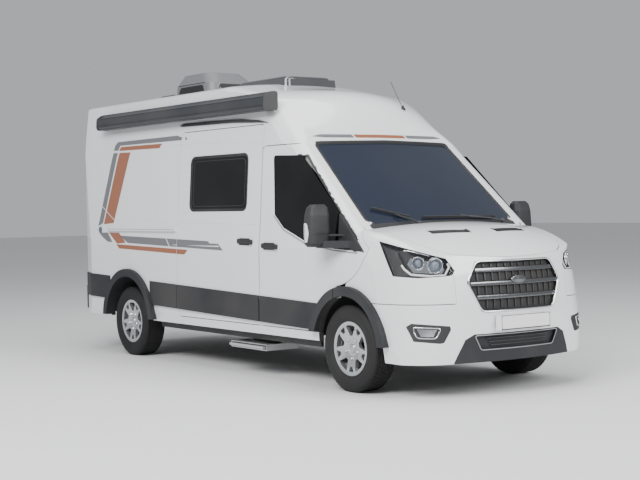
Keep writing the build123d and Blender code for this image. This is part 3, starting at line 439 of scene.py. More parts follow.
def ribs(name, outlines, cast, height, finish, body="body", slot=None, sunk=0.002):
    # short raised bars on a surface, all in one piece
    points, faces = [], []
    for outline in outlines:
        found = [cast(*corner) for corner in outline]
        if None in found:
            continue
        a = len(points)
        points += [hit - normal * sunk for hit, normal in found]
        points += [hit + normal * height for hit, normal in found]
        faces += [(a + 4, a + 5, a + 6, a + 7)]
        faces += [(a + k, a + (k + 1) % 4, a + 4 + (k + 1) % 4, a + 4 + k) for k in range(4)]
    return meshPiece(name, points, faces, finish, body, slot, smooth=False)


# share of the lid's width and of its height, from the rim to the middle
lidRows = ((1.0, 0.0), (1.0, 0.35), (0.985, 0.6), (0.94, 0.78), (0.7, 0.93), (0.35, 0.99), (0.02, 1.0))


def crownedLid(name, middle, half, base, rise, finish, body="body", slot=None):
    # a shallow dome on a rounded rectangle
    corners = [(middle + a * half[0], b * half[1]) for a, b in ((-1, -1), (1, -1), (1, 1), (-1, 1))]
    rim = rounded(corners, 0.07, 6)
    points, faces = [], []
    count, last = len(rim), len(lidRows) - 1
    for share, up in lidRows:
        points += [(middle + (x - middle) * share, y * share, base + rise * up) for x, y in rim]
    for row in range(last):
        for i in range(count):
            j = (i + 1) % count
            faces.append((row * count + i, row * count + j, (row + 1) * count + j, (row + 1) * count + i))
    faces.append(tuple(range(last * count, (last + 1) * count)))
    return meshPiece(name, points, faces, finish, body, slot)


def rod(name, path, radius, finish, body="body", slot=None, closed=False):
    # a round bar along a path of points
    curve = bpy.data.curves.new(name, "CURVE")
    curve.dimensions = "3D"
    curve.bevel_depth = radius
    curve.bevel_resolution = 3
    curve.use_fill_caps = True
    spline = curve.splines.new("POLY")
    spline.points.add(len(path) - 1)
    for point, place in zip(spline.points, path):
        point.co = (*place, 1)
    spline.use_cyclic_u = closed
    return finishPiece(bpy.data.objects.new(name, curve), finish, body, slot)


def alongSurface(points, cast, lift, spacing=0.03, closed=False, gap=0.010):
    # a path that follows the surface through flat points
    path = []
    count = len(points) if closed else len(points) - 1
    for i in range(count):
        start, end = Vector(points[i]), Vector(points[(i + 1) % len(points)])
        steps = max(1, round((end - start).length / spacing))
        for k in range(steps):
            path.append(start.lerp(end, k / steps))
    if not closed:
        path.append(Vector(points[-1]))
    found = [hit for hit in (cast(p.x, p.y) for p in path) if hit]
    # points that fell through a gap lie deeper than their neighbours, and are left out
    across = max(range(3), key=lambda axis: abs(sum(hit[1][axis] for hit in found)))
    kept = []
    for i, (place, normal) in enumerate(found):
        near = sorted(hit[0][across] for hit in found[max(0, i - 4):i + 5])
        if abs(place[across] - near[len(near) // 2]) < gap:
            kept.append(place + normal * lift)
    return kept


frameForm = {"spacing": 0.025, "edge": 0.0006, "crown": 0.45, "gap": 0.012}


def windowFrame(name, outline, inner, outer, rise, cast, body="body"):
    # a raised rubber frame that bridges the glass and the panel round a window
    path = []
    for k in range(len(outline)):
        start, end = Vector(outline[k - 1]), Vector(outline[k])
        steps = max(1, round((end - start).length / frameForm["spacing"]))
        path += [start.lerp(end, step / steps) for step in range(steps)]
    count = len(path)
    turning = sum(path[k - 1].cross(path[k]) for k in range(count))
    crown, edge = frameForm["crown"], frameForm["edge"]
    rows = ((-inner, edge), (-inner * crown, rise), (outer * crown, rise), (outer, edge))
    places = []
    for k in range(count):
        along = (path[(k + 1) % count] - path[k - 1]).normalized()
        out = Vector((along.y, -along.x)) * (1 if turning > 0 else -1)
        glass, facing = cast(*(path[k] + out * rows[0][0]))
        axis = max((0, 1), key=lambda a: abs(facing[a]))
        for reach, lift in rows:
            flat = path[k] + out * reach
            hit = cast(*flat)
            # over the gap round the glass, the frame stays level with the glass
            if hit is None or abs(hit[0][axis] - glass[axis]) > frameForm["gap"]:
                place = glass.copy()
                place[1 - axis], place.z = flat.x, flat.y
                hit = (place, facing)
            places.append(hit[0] + facing * lift)
    wide = len(rows)
    faces = []
    for k in range(count):
        here, following = k * wide, (k + 1) % count * wide
        faces += [(here + a, here + a + 1, following + a + 1, following + a) for a in range(wide - 1)]
    return meshPiece(name, places, faces, "rubber", body)


def lathe(profile, segments, close=False):
    # rows of points round the y axis from (across, radius) pairs, and the faces between them
    points, faces = [], []
    rows = len(profile)
    for step in range(segments):
        angle = 2 * math.pi * step / segments
        points += [(radius * math.cos(angle), across, radius * math.sin(angle))
                   for across, radius in profile]
    for step in range(segments):
        here, following = step * rows, ((step + 1) % segments) * rows
        for i in range(rows if close else rows - 1):
            j = (i + 1) % rows
            faces.append((here + i, here + j, following + j, following + i))
    return points, faces


standing = Matrix(((1, 0, 0), (0, 0, -1), (0, 1, 0)))      # turns a lathe's axis upright


def turned(name, rings, segments, basis, centre, finish, body="body", slot=None):
    points, faces = lathe(rings, segments)
    return meshPiece(name, [basis @ Vector(point) + centre for point in points], faces, finish, body, slot)


def trace(name, line, cast, lift, radius, finish, body="body", slot=None, spacing=0.03, closed=False):
    # a bar laid along a surface
    return rod(name, alongSurface(line, cast, lift, spacing, closed), radius, finish, body, slot, closed)


stripes = {
    "lift": 0.0012, "cell": 0.06,
    # x, z of each band's corners
    "grey": {
        "topGrey": ((-2.206, 2.124), (-2.190, 2.178), (-2.130, 2.213), (-0.870, 2.216),
                    (-0.800, 2.197), (-0.700, 2.197), (-0.664, 2.166), (-2.070, 2.172),
                    (-2.105, 2.122)),
        "slantGrey": ((-2.206, 2.100), (-2.103, 2.097), (-2.382, 1.360), (-2.490, 1.330)),
        "tailGrey": ((-2.465, 1.262), (-2.375, 1.214), (-2.250, 1.166), (-2.137, 1.163), (-2.262, 1.262)),
        "lowGreyRear": ((-1.985, 1.232), (-1.000, 1.212), (-0.925, 1.136), (-1.790, 1.158)),
        "lowGreyFront": ((-0.984, 1.212), (-0.192, 1.195), (-0.159, 1.175), (0.000, 1.172), (0.081, 1.112),
                         (-0.908, 1.136)),
    },
    "copper": {
        "topCopper": ((-2.085, 2.118), (-2.050, 2.158), (-1.163, 2.152), (-1.211, 2.108)),
        "slantCopper": ((-2.068, 2.098), (-1.820, 2.092), (-2.135, 1.362), (-2.362, 1.350)),
        "hookCopper": ((-2.235, 1.262), (-2.005, 1.262), (-1.835, 1.160), (-2.030, 1.148)),
        "lowCopper": ((-2.049, 1.142), (-0.562, 1.108), (-0.629, 1.061), (-1.985, 1.099)),
    },
}
shutLine = (-0.7785, -0.7715)      # the sliding door's rear edge
# lines pressed in the panels
creases = {
    "sunk": 0.0025, "radius": 0.005,
    "lines": {"beltCrease": ((-2.45, 1.56), (-2.14, 1.402), (-1.2, 1.384), (0.66, 1.352)),
              "topCrease": ((-0.97, 2.122), (0.0, 2.105), (0.66, 2.075))},
}


def clipped(outline, low, high):
    # the part of an outline between two x values
    for limit, keep in ((low, 1), (high, -1)):
        kept = []
        for i in range(len(outline)):
            (x0, z0), (x1, z1) = outline[i - 1], outline[i]
            if (x0 - limit) * (x1 - limit) < 0:
                t = (limit - x0) / (x1 - x0)
                kept.append((limit, z0 + t * (z1 - z0)))
            if (x1 - limit) * keep >= 0:
                kept.append((x1, z1))
        outline = kept
        if len(outline) < 3:
            return []
    return outline


sideTrees = {-1: treeOf("side_wall_right", "sliding_door", "front_door_right", "cab_frame"),
             1: treeOf("side_wall_left", "front_door_left", "cab_frame")}
for side, word, _ in sides:
    spans = ((-3, shutLine[0]), (shutLine[1], 3)) if side < 0 else ((-3, 3),)
    for colour, finish in (("grey", "stripeGrey"), ("copper", "stripeCopper")):
        for name, outline in stripes[colour].items():
            for k, (low, high) in enumerate(spans):
                part = clipped(outline, low, high)
                if part:
                    skinPatch(f"{name}{word}{k}", part, onSide(sideTrees[side], side), stripes["lift"],
                              finish, "body", "awning_grey", cell=stripes["cell"])
    for name, line in creases["lines"].items():
        path = alongSurface(line, onSide(sideTrees[side], side), -creases["sunk"], 0.08)
        rod(f"{name}{word}", path, creases["radius"], "body_white")
print("stripes laid")

foreheadTree = treeOf("cab_frame", "roof", "side_wall_right", "side_wall_left")
# y, z of each band's corners, above the windscreen
foreheadBands = {
    "foreheadGreyRight": ((-0.73, 2.106), (-0.63, 2.126), (-0.30, 2.129), (-0.28, 2.100), (-0.60, 2.097)),
    "foreheadCopper": ((-0.28, 2.129), (0.0, 2.131), (0.28, 2.129), (0.30, 2.100), (0.0, 2.102),
                       (-0.26, 2.100)),
    "foreheadGreyLeft": ((0.30, 2.129), (0.66, 2.125), (0.73, 2.106), (0.60, 2.097), (0.32, 2.100)),
}
for name, outline in foreheadBands.items():
    skinPatch(name, outline, onFront(foreheadTree), 0.0015,
              "stripeCopper" if "Copper" in name else "stripeGrey", "body", "awning_grey")

windows = {
    # how far the frame reaches over the glass and over the panel, and how high it stands
    "side": (0.016, 0.010, 0.007), "screen": (0.020, 0.010, 0.004), "rear": (0.014, 0.010, 0.006),
    "paneLine": (0.045, 0.04),      # the inner pane of a side window, in from its edges
    "belt": ((2.12, 1.128), (1.807, 1.140), (1.380, 1.198), (1.060, 1.306), (0.905, 1.425)),
}
# x, z of the middle of each handle; behind its rear part a flat dark patch is painted shade of the hollow
# there
handles = {"length": 0.235, "height": 0.052, "slider": (0.467, 1.197), "door": (0.870, 1.162),
           "lift": 0.004, "proud": 0.020, "cup": 0.6}
glassTree = treeOf("side_windows")
for side, word, low in sides:
    doorTree = treeOf(f"front_door_{low}")
    doorBody = f"front_door_{low}"
    trace(f"doorBeltTrim{word}", windows["belt"], onSide(doorTree, side), 0.002, 0.006, "satinGrey",
          doorBody)
    panel = "sliding_door" if side < 0 else "side_wall_left"
    windowFrame(f"sideWindowFrame{word}", rounded(sideBox, 0.07, 8), *windows["side"],
                onSide(treeOf(panel, "side_windows"), side))
    (x0, z0), (x1, z1) = sideBox[0], sideBox[2]
    dx, dz = windows["paneLine"]
    innerLine = rounded(((x0 + dx, z0 + dz), (x1 - dx, z0 + dz), (x1 - dx, z1 - dz), (x0 + dx, z1 - dz)),
                        0.05, 6)
    trace(f"sideWindowPane{word}", innerLine, onSide(glassTree, side), -0.001, 0.003, "satinBlack",
          closed=True)

    places = [("doorHandle", doorTree, doorBody, handles["door"])]
    if side < 0:
        places.append(("sliderHandle", treeOf("sliding_door"), "body", handles["slider"]))
    for name, tree, body, (x, z) in places:
        half, tall = handles["length"] / 2, handles["height"] / 2
        grip = rounded(((x - half, z - tall * 0.7), (x + half, z - tall), (x + half, z + tall * 0.7),
                        (x - half, z + tall)), 0.03, 6)
        skinPatch(f"{name}{word}", grip, onSide(tree, side), handles["lift"], "satinBlack", body,
                  cell=0.03, thickness=handles["proud"], edge=0.008)
        # painted shade: a flat near-black patch over the hollow behind the handle stands for the shade in
        # it
        back, front = x - half - handles["lift"], x + half * handles["cup"]
        cup = rounded(((back, z - tall - 0.004), (front, z - tall - 0.006), (front, z + tall + 0.004),
                       (back, z + tall + 0.006)), 0.03, 6)
        skinPatch(f"{name}PocketShade{word}", cup, onSide(tree, side), 0.001, "rubber", body, cell=0.03)

windowFrame("windscreenFrame", rounded(screenOpening, 0.05, 5), *windows["screen"],
            onFront(treeOf("cab_frame", "windscreen", "cowl")))

# wipers: an arm from its spindle on the cowl, and a blade along the glass
wipers = {
    "Right": {"spindle": (2.112, -0.335, 1.345), "joint": (-0.500, 1.412),
              "blade": ((-0.715, 1.478), (-0.290, 1.372))},
    "Left": {"spindle": (2.085, 0.620, 1.350), "joint": (0.175, 1.392),
             "blade": ((-0.235, 1.386), (0.585, 1.376))},
}
wiperForm = {"blade": 0.007, "spoiler": 0.005, "arm": 0.008, "offGlass": 0.012, "armOffGlass": 0.022}
aheadOf = Vector((0.006, 0, 0.010))      # the spoiler and the arm's bend lie this far off the blade
spindleCap = ((-0.014, 0.001), (-0.014, 0.016), (0.010, 0.019), (0.022, 0.014), (0.026, 0.001))
glassOnly = onFront(treeOf("windscreen"))
for word, wiper in wipers.items():
    path = alongSurface([Vector(end) for end in wiper["blade"]], glassOnly, wiperForm["offGlass"], 0.04)
    rod(f"wiperBlade{word}", path, wiperForm["blade"], "rubber")
    rod(f"wiperSpoiler{word}", [point + aheadOf for point in path], wiperForm["spoiler"],
        "satinBlack")
    joint = glassOnly(*wiper["joint"])
    tip = joint[0] + joint[1] * wiperForm["armOffGlass"]
    spindle = Vector(wiper["spindle"])
    rod(f"wiperArm{word}", [spindle, spindle.lerp(tip, 0.3) + aheadOf, spindle.lerp(tip, 0.75), tip],
        wiperForm["arm"], "satinBlack")
    turned(f"wiperSpindle{word}", spindleCap, 20, standing, spindle, "satinBlack")
print("windows and wipers done")

# x, y of a vent's corners on the bonnet, and the bars across it
vent = {"outline": ((2.362, 0.500), (2.440, 0.130), (2.530, 0.133), (2.472, 0.505)), "bars": 4,
        "middle": 2.45, "rim": 0.004, "bar": 0.0035}
bonnetTree = treeOf("bonnet")
for side, word, _ in sides:
    outline = [(x, side * y) for x, y in vent["outline"]]
    inner = [(x + (vent["rim"] if x < vent["middle"] else -vent["rim"]), y) for x, y in outline]
    skinPatch(f"bonnetVent{word}", inner, onTop(bonnetTree), 0.001, "blackMesh", "bonnet",
              cell=0.03)
    for k in range(1, vent["bars"] + 1):
        t = k / (vent["bars"] + 1)
        line = [Vector(outline[a]).lerp(Vector(outline[b]), t) for a, b in ((0, 3), (1, 2))]
        trace(f"bonnetVentBar{word}{k}", line, onTop(bonnetTree), 0.002, vent["bar"], "satinBlack",
              "bonnet", spacing=0.04)

# outlines are distance along the lamp and height; what is seen lies under the cover
headlamp = {
    "bar": ((1.080, 1.110), (1.150, 1.070), (1.190, 1.010), (1.246, 0.966), (1.400, 0.955),
            (1.510, 0.958), (1.555, 0.992), (1.530, 1.050), (1.490, 1.072)),
    "topLine": ((1.020, 1.196), (1.150, 1.166), (1.350, 1.122), (1.515, 1.072)),
    "wedge": ((1.006, 1.200), (1.060, 1.168), (1.125, 1.150), (1.185, 1.040), (1.225, 0.975),
              (1.225, 0.948), (1.112, 0.955)),
    "shelf": ((1.235, 1.098), (1.480, 1.058), (1.520, 1.010), (1.500, 0.975), (1.260, 0.985),
              (1.205, 1.050)),
    "under": {"bar": 0.016, "topLine": 0.013, "reflector": 0.020, "shelf": 0.050},
    "reflectors": ((1.300, 1.052, 0.046), (1.430, 1.032, 0.056)),      # place and radius of each
    # depth, share of the radius
    "bowl": ((0.004, 1), (0.006, 1.05), (0.0, 1.10), (-0.030, 1.02), (-0.034, 0.3)),
    "dish": ((0.004, 1), (-0.004, 0.92), (-0.020, 0.72), (-0.026, 0.60)),
    "lens": (0.024, 0.60),
}
lampTree = treeOf("front_lamps")
for side, word, _ in sides:
    cast = onLamp(lampTree, side)
    outward = Vector((math.cos(lampTurn), side * math.sin(lampTurn), 0))
    under = headlamp["under"]
    trace(f"headlampBar{word}", headlamp["bar"], cast, -under["bar"], 0.009, "lightBar")
    trace(f"headlampTopLine{word}", headlamp["topLine"], cast, -under["topLine"], 0.005, "brightRim",
          spacing=0.04)
    skinPatch(f"headlampWedge{word}", headlamp["wedge"], cast, -under["topLine"], "satinBlack",
              cell=0.04)
    basis = outward.to_track_quat("Y", "Z").to_matrix()
    for k, (reach, height, radius) in enumerate(headlamp["reflectors"]):
        centre = cast(reach, height)[0] - outward * under["reflector"]
        bulge, share = headlamp["lens"]
        turns = [math.radians(angle) for angle in (90, 75, 60, 45, 30, 15, 1)]
        seat = headlamp["dish"][-1][0]
        for piece, profile, finish in (
                ("Bowl", [(x, radius * r) for x, r in headlamp["bowl"]] + [(-0.034, 0.001)],
                 "brightRim"),
                ("Reflector", [(x, radius * r) for x, r in headlamp["dish"]], "reflector"),
                ("Projector", [(seat + bulge * math.cos(a), radius * share * math.sin(a)) for a in turns],
                 "projector")):
            turned(f"headlamp{piece}{word}{k}", profile, 40, basis, centre, finish)
    skinPatch(f"headlampShelf{word}", headlamp["shelf"], cast, -under["shelf"], "reflector", cell=0.04)

# y, z of the opening, and the heights of the bars across it
grilleForm = {
    "outline": ((-0.400, 1.058), (0.400, 1.058), (0.500, 0.893), (0.385, 0.662), (-0.385, 0.662),
                (-0.500, 0.893)),
    "middle": 0.860, "inset": (0.987, 0.985), "rim": 0.008,
    "bars": (0.775, 0.880, 0.985), "barTall": 0.015, "waist": 0.893, "narrow": 0.378,
    "ribs": 12, "ribSpan": 0.385, "ribWide": 0.006, "innerRibs": 0.36,
    "ribRows": ((0.690, 0.755), (0.797, 0.860), (0.902, 0.965), (1.006, 1.030)),
    # height of the boss, its middle on the mesh and its squash; then depth and radius of its rings
    "boss": (0.905, 0.880, 0.42),
    "bossRings": ((0.0, 0.078), (0.010, 0.076), (0.014, 0.070), (0.013, 0.064), (0.017, 0.040),
                  (0.018, 0.001)),
}
noseCast = onFront(treeOf("grille"))
across, up = grilleForm["inset"]
middle = grilleForm["middle"]
rimLine = rounded([(y * across, middle + (z - middle) * up) for y, z in grilleForm["outline"]], 0.05, 6)
trace("grilleRim", rimLine, noseCast, 0.001, grilleForm["rim"], "brightRim", closed=True)
for k, z in enumerate(grilleForm["bars"]):
    waist, tall = grilleForm["waist"], grilleForm["barTall"]
    slope = abs(z - waist) / (0.231 if z < waist else 0.165)      # down and up from the waist
    half = grilleForm["narrow"] + 0.105 * (1 - slope) - 0.016
    skinPatch(f"grilleBar{k}", ((-half, z - tall), (half, z - tall), (half, z + tall), (-half, z + tall)),
              noseCast, 0.0, "darkChrome", thickness=0.006, edge=0.004)
span, wide, last = grilleForm["ribSpan"], grilleForm["ribWide"], grilleForm["ribs"] - 1
ribPlaces = [-span + 2 * span * k / last for k in range(last + 1)]
ribs("grilleRibs", [((y - wide, low), (y + wide, low), (y + wide, high), (y - wide, high))
                    for y in ribPlaces for low, high in grilleForm["ribRows"]
                    if abs(y) < grilleForm["innerRibs"] or 0.72 < low < 0.95],
     noseCast, 0.010, "satinBlack", "body", "grille_chrome")
height, onMesh, squash = grilleForm["boss"]
bossX = noseCast(0.0, onMesh)[0].x + 0.001
turned("grilleBoss", grilleForm["bossRings"], 48, Matrix(((0, 1, 0), (1, 0, 0), (0, 0, squash))),
       Vector((bossX, 0, height)), "darkChrome")

intake = {"bars": (0.400, 0.428, 0.456), "low": 0.372, "half": 0.37, "slant": 0.6,
          "mouth": ((-0.445, 0.482), (0.445, 0.482), (0.384, 0.367), (-0.384, 0.367))}
lowCast = onFront(treeOf("lower_grille"))
for k, z in enumerate(intake["bars"]):
    half = intake["half"] + intake["slant"] * (z - intake["low"])
    trace(f"intakeBar{k}", ((-half, z), (half, z)), lowCast, 0.006, 0.006, "satinBlack", spacing=0.05)
trace("intakeMouthEdge", rounded(intake["mouth"], 0.02, 4), lowCast, 0.0, 0.004, "satinGrey", closed=True)

fogLamp = {"lens": ((0.754, 0.545), (0.886, 0.554), (0.866, 0.492), (0.781, 0.488)),
           "middle": (0.822, 0.520), "ring": 1.35, "reflector": 0.96, "under": 0.012}
for side, word, _ in sides:
    middle = Vector((side * fogLamp["middle"][0], fogLamp["middle"][1]))
    lens = [Vector((side * y, z)) - middle for y, z in fogLamp["lens"]]
    ring = rounded([tuple(middle + corner * fogLamp["ring"]) for corner in lens], 0.02, 4)
    trace(f"fogLampRing{word}", ring, onFront(treeOf("lower_grille", "front_bumper")), 0.001, 0.005,
          "brightRim", spacing=0.02, closed=True)
    skinPatch(f"fogLampReflector{word}", [tuple(middle + corner * fogLamp["reflector"]) for corner in lens],
              onFront(lampTree), -fogLamp["under"], "reflector", cell=0.03)

# x of the plate's holder; half sizes and middle heights of the holder and of the blank on it
plate = {"face": 2.9902, "proud": 0.0004, "holder": (0.262, 0.057, 0.576), "blank": (0.256, 0.050, 0.578)}
flatCorners = ((-1, -1), (1, -1), (1, 1), (-1, 1))
wide, tall, height = plate["holder"]
meshPiece("plateHolder", [(plate["face"], y * wide, height + z * tall) for y, z in flatCorners],
          [(0, 1, 2, 3)], "satinBlack", smooth=False)
wide, tall, height = plate["blank"]
plateLine = rounded([(y * wide, height + z * tall) for y, z in flatCorners], 0.012, 5)
meshPiece("plateBlank", [(plate["face"] + plate["proud"], y, z) for y, z in plateLine],
          [tuple(range(len(plateLine)))], "plateWhite", smooth=False)
print("front done")

# x, z of the lamp in a mirror's side; y, z of its glass and of the seam across its front
mirror = {
    "lamp": ((1.706, 1.212), (1.778, 1.212), (1.800, 1.290), (1.770, 1.368), (1.716, 1.368)),
    "glass": ((1.052, 1.215), (1.205, 1.215), (1.200, 1.485), (1.062, 1.485)),
    "seam": ((1.030, 1.285), (1.230, 1.285)), "behind": 0.5, "lampUnder": 0.0052,
}
for side, word, low in sides:
    mirrorTree = treeOf(f"mirror_{low}")
    body = f"front_door_{low}"
    skinPatch(f"mirrorLamp{word}", rounded(mirror["lamp"], 0.02, 4), onSide(mirrorTree, side),
              -mirror["lampUnder"], "whiteLens", body, "lamp_clear", cell=0.02, thickness=0.006,
              edge=0.002)
    glassLine = rounded([(side * y, z) for y, z in mirror["glass"]], 0.03, 6)
    skinPatch(f"mirrorGlass{word}", glassLine, onFront(mirrorTree, mirror["behind"], 1), 0.001,
              "mirrorSilver", body, cell=0.04, thickness=0.002)
    seam = [(side * y, z) for y, z in mirror["seam"]]
    trace(f"mirrorSeam{word}", seam, onFront(mirrorTree), 0.0, 0.003, "rubber", body, spacing=0.02)

awning = {
    # y, z of the end caps' outline, and x of each cap's two faces
    "cap": ((-0.845, 2.350), (-0.988, 2.345), (-1.006, 2.372), (-1.001, 2.474), (-0.930, 2.516),
            (-0.845, 2.519)),
    "ends": {"awningCapFront": (0.795, 0.818), "awningCapRear": (-2.432, -2.410)},
    "seams": {"awningFrontSeam": (2.392, 0.004), "awningTopSeam": (2.462, 0.003)},      # height, radius
    "span": (-2.40, 0.785),
}
for name, (x0, x1) in awning["ends"].items():
    line = rounded(awning["cap"], 0.03, 5)
    count = len(line)
    points = [(x0, y, z) for y, z in line] + [(x1, y, z) for y, z in line]
    faces = [tuple(reversed(range(count))), tuple(range(count, 2 * count))]
    faces += [(i, (i + 1) % count, count + (i + 1) % count, count + i) for i in range(count)]
    cap = meshPiece(name, points, faces, "satinBlack", "body", "awning_grey", smooth=False)
    bevel = cap.modifiers.new("edge", "BEVEL")
    bevel.width = 0.004
    bevel.segments = 2
awningCast = onSide(treeOf("awning"), -1)
for name, (z, radius) in awning["seams"].items():
    trace(name, [(x, z) for x in awning["span"]], awningCast, -0.001, radius, "rubber", "body",
          "awning_grey", spacing=0.3)

# x, z of the strip over the sliding door that keeps water off it
drip = ((-0.828, 2.301), (-0.765, 2.322), (-0.209, 2.316), (0.296, 2.302), (0.588, 2.277), (0.742, 2.246),
        (0.592, 2.254), (0.138, 2.279), (-0.777, 2.294))
skinPatch("dripStrip", drip, onSide(sideTrees[-1], -1), 0.0, "satinBlack", cell=0.06,
          thickness=0.014, edge=0.004)

# the blue cap of the power inlet: its place, then depth and radius of its rings
inlet = {"place": (-2.43, 1.290), "rings": ((-0.012, 0.034), (0.006, 0.034), (0.010, 0.030),
                                            (0.010, 0.010), (0.014, 0.008), (0.014, 0.001))}
inletHit = onSide(sideTrees[-1], -1)(*inlet["place"])[0]
turned("inletCap", inlet["rings"], 40, Matrix.Diagonal((1, -1, 1)), inletHit, "capBlue")
railCover = ((-2.225, 1.300), (-0.815, 1.300))
trace("railCoverLine", railCover, onSide(treeOf("side_wall_right"), -1), -0.001, 0.003, "satinGrey", "body",
      "body_white", spacing=0.2)

cooler = {
    "recess": ((-1.90, 2.700), (-1.36, 2.700), (-1.40, 2.780), (-1.86, 2.780)),      # x, z on its sides
    "seam": ((-2.0, 2.800), (-1.27, 2.800)),
    "front": ((-0.20, 2.700), (0.20, 2.700), (0.17, 2.785), (-0.17, 2.785)),      # y, z
    "grooves": 5, "grooveSpan": (-1.92, -1.46), "pitch": 0.08, "grooveDeep": 0.003, "groove": 0.0035,
}
coolerTree = treeOf("air_conditioner")
for side, word, _ in sides:
    skinPatch(f"coolerRecess{word}", rounded(cooler["recess"], 0.03, 4), onSide(coolerTree, side), 0.001,
              "blackMesh")
    trace(f"coolerSeam{word}", cooler["seam"], onSide(coolerTree, side), 0.0, 0.004, "rubber", spacing=0.05)
skinPatch("coolerFrontGrille", rounded(cooler["front"], 0.02, 4), onFront(coolerTree), 0.001,
          "blackMesh")
# painted shade: each groove across the cooler's top is a near-black rod sunk almost flush, standing in for
# the shade in the groove
for k in range(cooler["grooves"]):
    y = -0.16 + cooler["pitch"] * k
    trace(f"coolerGrooveShade{k}", [(x, y) for x in cooler["grooveSpan"]], onTop(coolerTree),
          -cooler["grooveDeep"], cooler["groove"], "rubber", "body", "roof_unit_white", spacing=0.05)
# middle x, half sizes, base and rise of the roof lights' lids
domes = {"roofDomeFront": (-0.330, (0.43, 0.26), 2.711, 0.040),
         "roofDomeRear": (-2.380, (0.17, 0.17), 2.721, 0.032)}
for name, form in domes.items():
    crownedLid(name, *form, "smokedDome")

aerial = {"base": (0.950, 0.455), "length": 0.42, "lean": (-0.30, 0.10, 0.28), "radius": 0.003,
          "foot": ((-0.008, 0.026), (0.004, 0.024), (0.016, 0.012), (0.034, 0.006), (0.036, 0.001))}
roofHit = onTop(treeOf("roof"))(*aerial["base"])[0]
rise = Vector(aerial["lean"]).normalized()
rod("aerialRod", [roofHit + rise * reach for reach in (0.02, 0.15, aerial["length"])], aerial["radius"],
    "satinBlack")
turned("aerialBase", aerial["foot"], 24, standing, roofHit, "rubber")

rearFace = {
    # how the lamps are divided: y from and to, and z from and to for each colour
    "tailAcross": (0.862, 0.900), "tailAmber": (1.235, 1.315), "tailWhite": (0.905, 0.985),
    "handle": ((-0.03, 1.145), (-0.20, 1.145), (-0.20, 1.195), (-0.03, 1.195)),
    "brakeLamp": ((-0.11, 2.452), (0.11, 2.452), (0.11, 2.478), (-0.11, 2.478)),
}


def onBack(*names):
    return onFront(treeOf(*names), fromX=-4, towards=1)


backCast = onBack("tail_lamps")
for side, word, _ in sides:
    for name, finish in (("tailAmber", "amberLens"), ("tailWhite", "whiteLens")):
        (y0, y1), (z0, z1) = rearFace["tailAcross"], rearFace[name]
        skinPatch(f"{name}{word}", [(side * y0, z0), (side * y1, z0), (side * y1, z1), (side * y0, z1)],
                  backCast, 0.0005, finish, "body", "lamp_red", cell=0.03, thickness=0.001)
skinPatch("rearHandle", rounded(rearFace["handle"], 0.015, 4), onBack("rear_door_right", "rear_door_left"),
          0.001, "satinBlack", "rear_door_right", cell=0.04, thickness=0.018, edge=0.005)
for side, word, low in sides:
    windowFrame(f"rearWindowFrame{word}", rounded(rearBox(side), 0.06, 6), *windows["rear"],
                onBack(f"rear_door_{low}", f"rear_glass_{low}"), f"rear_door_{low}")
skinPatch("highBrakeLamp", rounded(rearFace["brakeLamp"], 0.008, 3), onBack("rear_frame", "roof"), 0.001,
          "lamp_red", cell=0.04, thickness=0.010, edge=0.003)
print("roof and rear done")

wheel = {
    # across, radius: half of the tyre from the bead to the middle of the tread
    "profile": ((0.085, 0.2065), (0.088, 0.214), (0.097, 0.228), (0.099, 0.234), (0.108, 0.248),
                (0.1150, 0.262), (0.1172, 0.278), (0.1165, 0.298), (0.1125, 0.314), (0.1135, 0.317),
                (0.108, 0.328), (0.101, 0.338), (0.093, 0.3445), (0.084, 0.3475), (0.0, 0.3475)),
    "rows": ((0.083, 0.022), (0.050, 0.024), (0.0165, 0.024)),   # middle, width of each row of blocks
    "blocks": 66, "tread": 0.3518, "sunk": 0.3465, "gap": 0.16, "slant": 0.18, "segments": 120,
    # across, radius of a nut and of the plain cap in the middle
    "nuts": 5, "nutCircle": 0.080, "firstNut": 54,
    "nut": ((0.070, 0.013), (0.086, 0.0125), (0.088, 0.011), (0.092, 0.008), (0.094, 0.001)),
    "cap": ((0.066, 0.037), (0.082, 0.037), (0.086, 0.034), (0.0865, 0.030), (0.085, 0.028),
            (0.0865, 0.001)),
    "valve": ((0.0498, 0.078, 0.160), (0.0498, 0.100, 0.152)), "valveRadius": 0.0045,
}


def makeTyre(name, centre, body, node):
    half = list(wheel["profile"])
    profile = half + [(-across, radius) for across, radius in reversed(half[:-1])]
    points, faces = lathe(profile, wheel["segments"], close=True)
    step = 2 * math.pi / wheel["blocks"]
    for row, (middle, width) in enumerate(wheel["rows"]):
        for sign in (-1, 1):
            for k in range(wheel["blocks"]):
                start = (k + 0.5 * (row % 2) + 0.25 * (sign > 0)) * step
                end = start + step * (1 - wheel["gap"])
                a = len(points)
                for radius in (wheel["sunk"], wheel["tread"]):
                    inset = 0.0012 if radius == wheel["tread"] else 0.0
                    slant = step * wheel["slant"] * sign
                    for across, turn in ((middle - width / 2 + inset, 0),
                                         (middle + width / 2 - inset, slant)):
                        for angle in (start + turn + inset * 3, end + turn - inset * 3):
                            points.append((radius * math.cos(angle), sign * across,
                                           radius * math.sin(angle)))
                block = [(a, a + 1, a + 5, a + 4), (a + 2, a + 6, a + 7, a + 3), (a, a + 4, a + 6, a + 2),
                         (a + 1, a + 3, a + 7, a + 5), (a + 4, a + 5, a + 7, a + 6)]
                faces += block if sign > 0 else [tuple(reversed(face)) for face in block]
    mesh = bpy.data.meshes.new(name)
    mesh.from_pydata([tuple(Vector(point) + centre) for point in points], [], faces)
    mesh.polygons.foreach_set("use_smooth", [True] * len(mesh.polygons))
    mesh.update()
    edges = bmesh.new()
    edges.from_mesh(mesh)
    bmesh.ops.recalc_face_normals(edges, faces=edges.faces[:])
    edges.to_mesh(mesh)
    edges.free()
    mesh.set_sharp_from_angle(angle=math.radians(35))
    tyre = finishPiece(bpy.data.objects.new(name, mesh), "tyre_rubber", body)
    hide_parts(node)


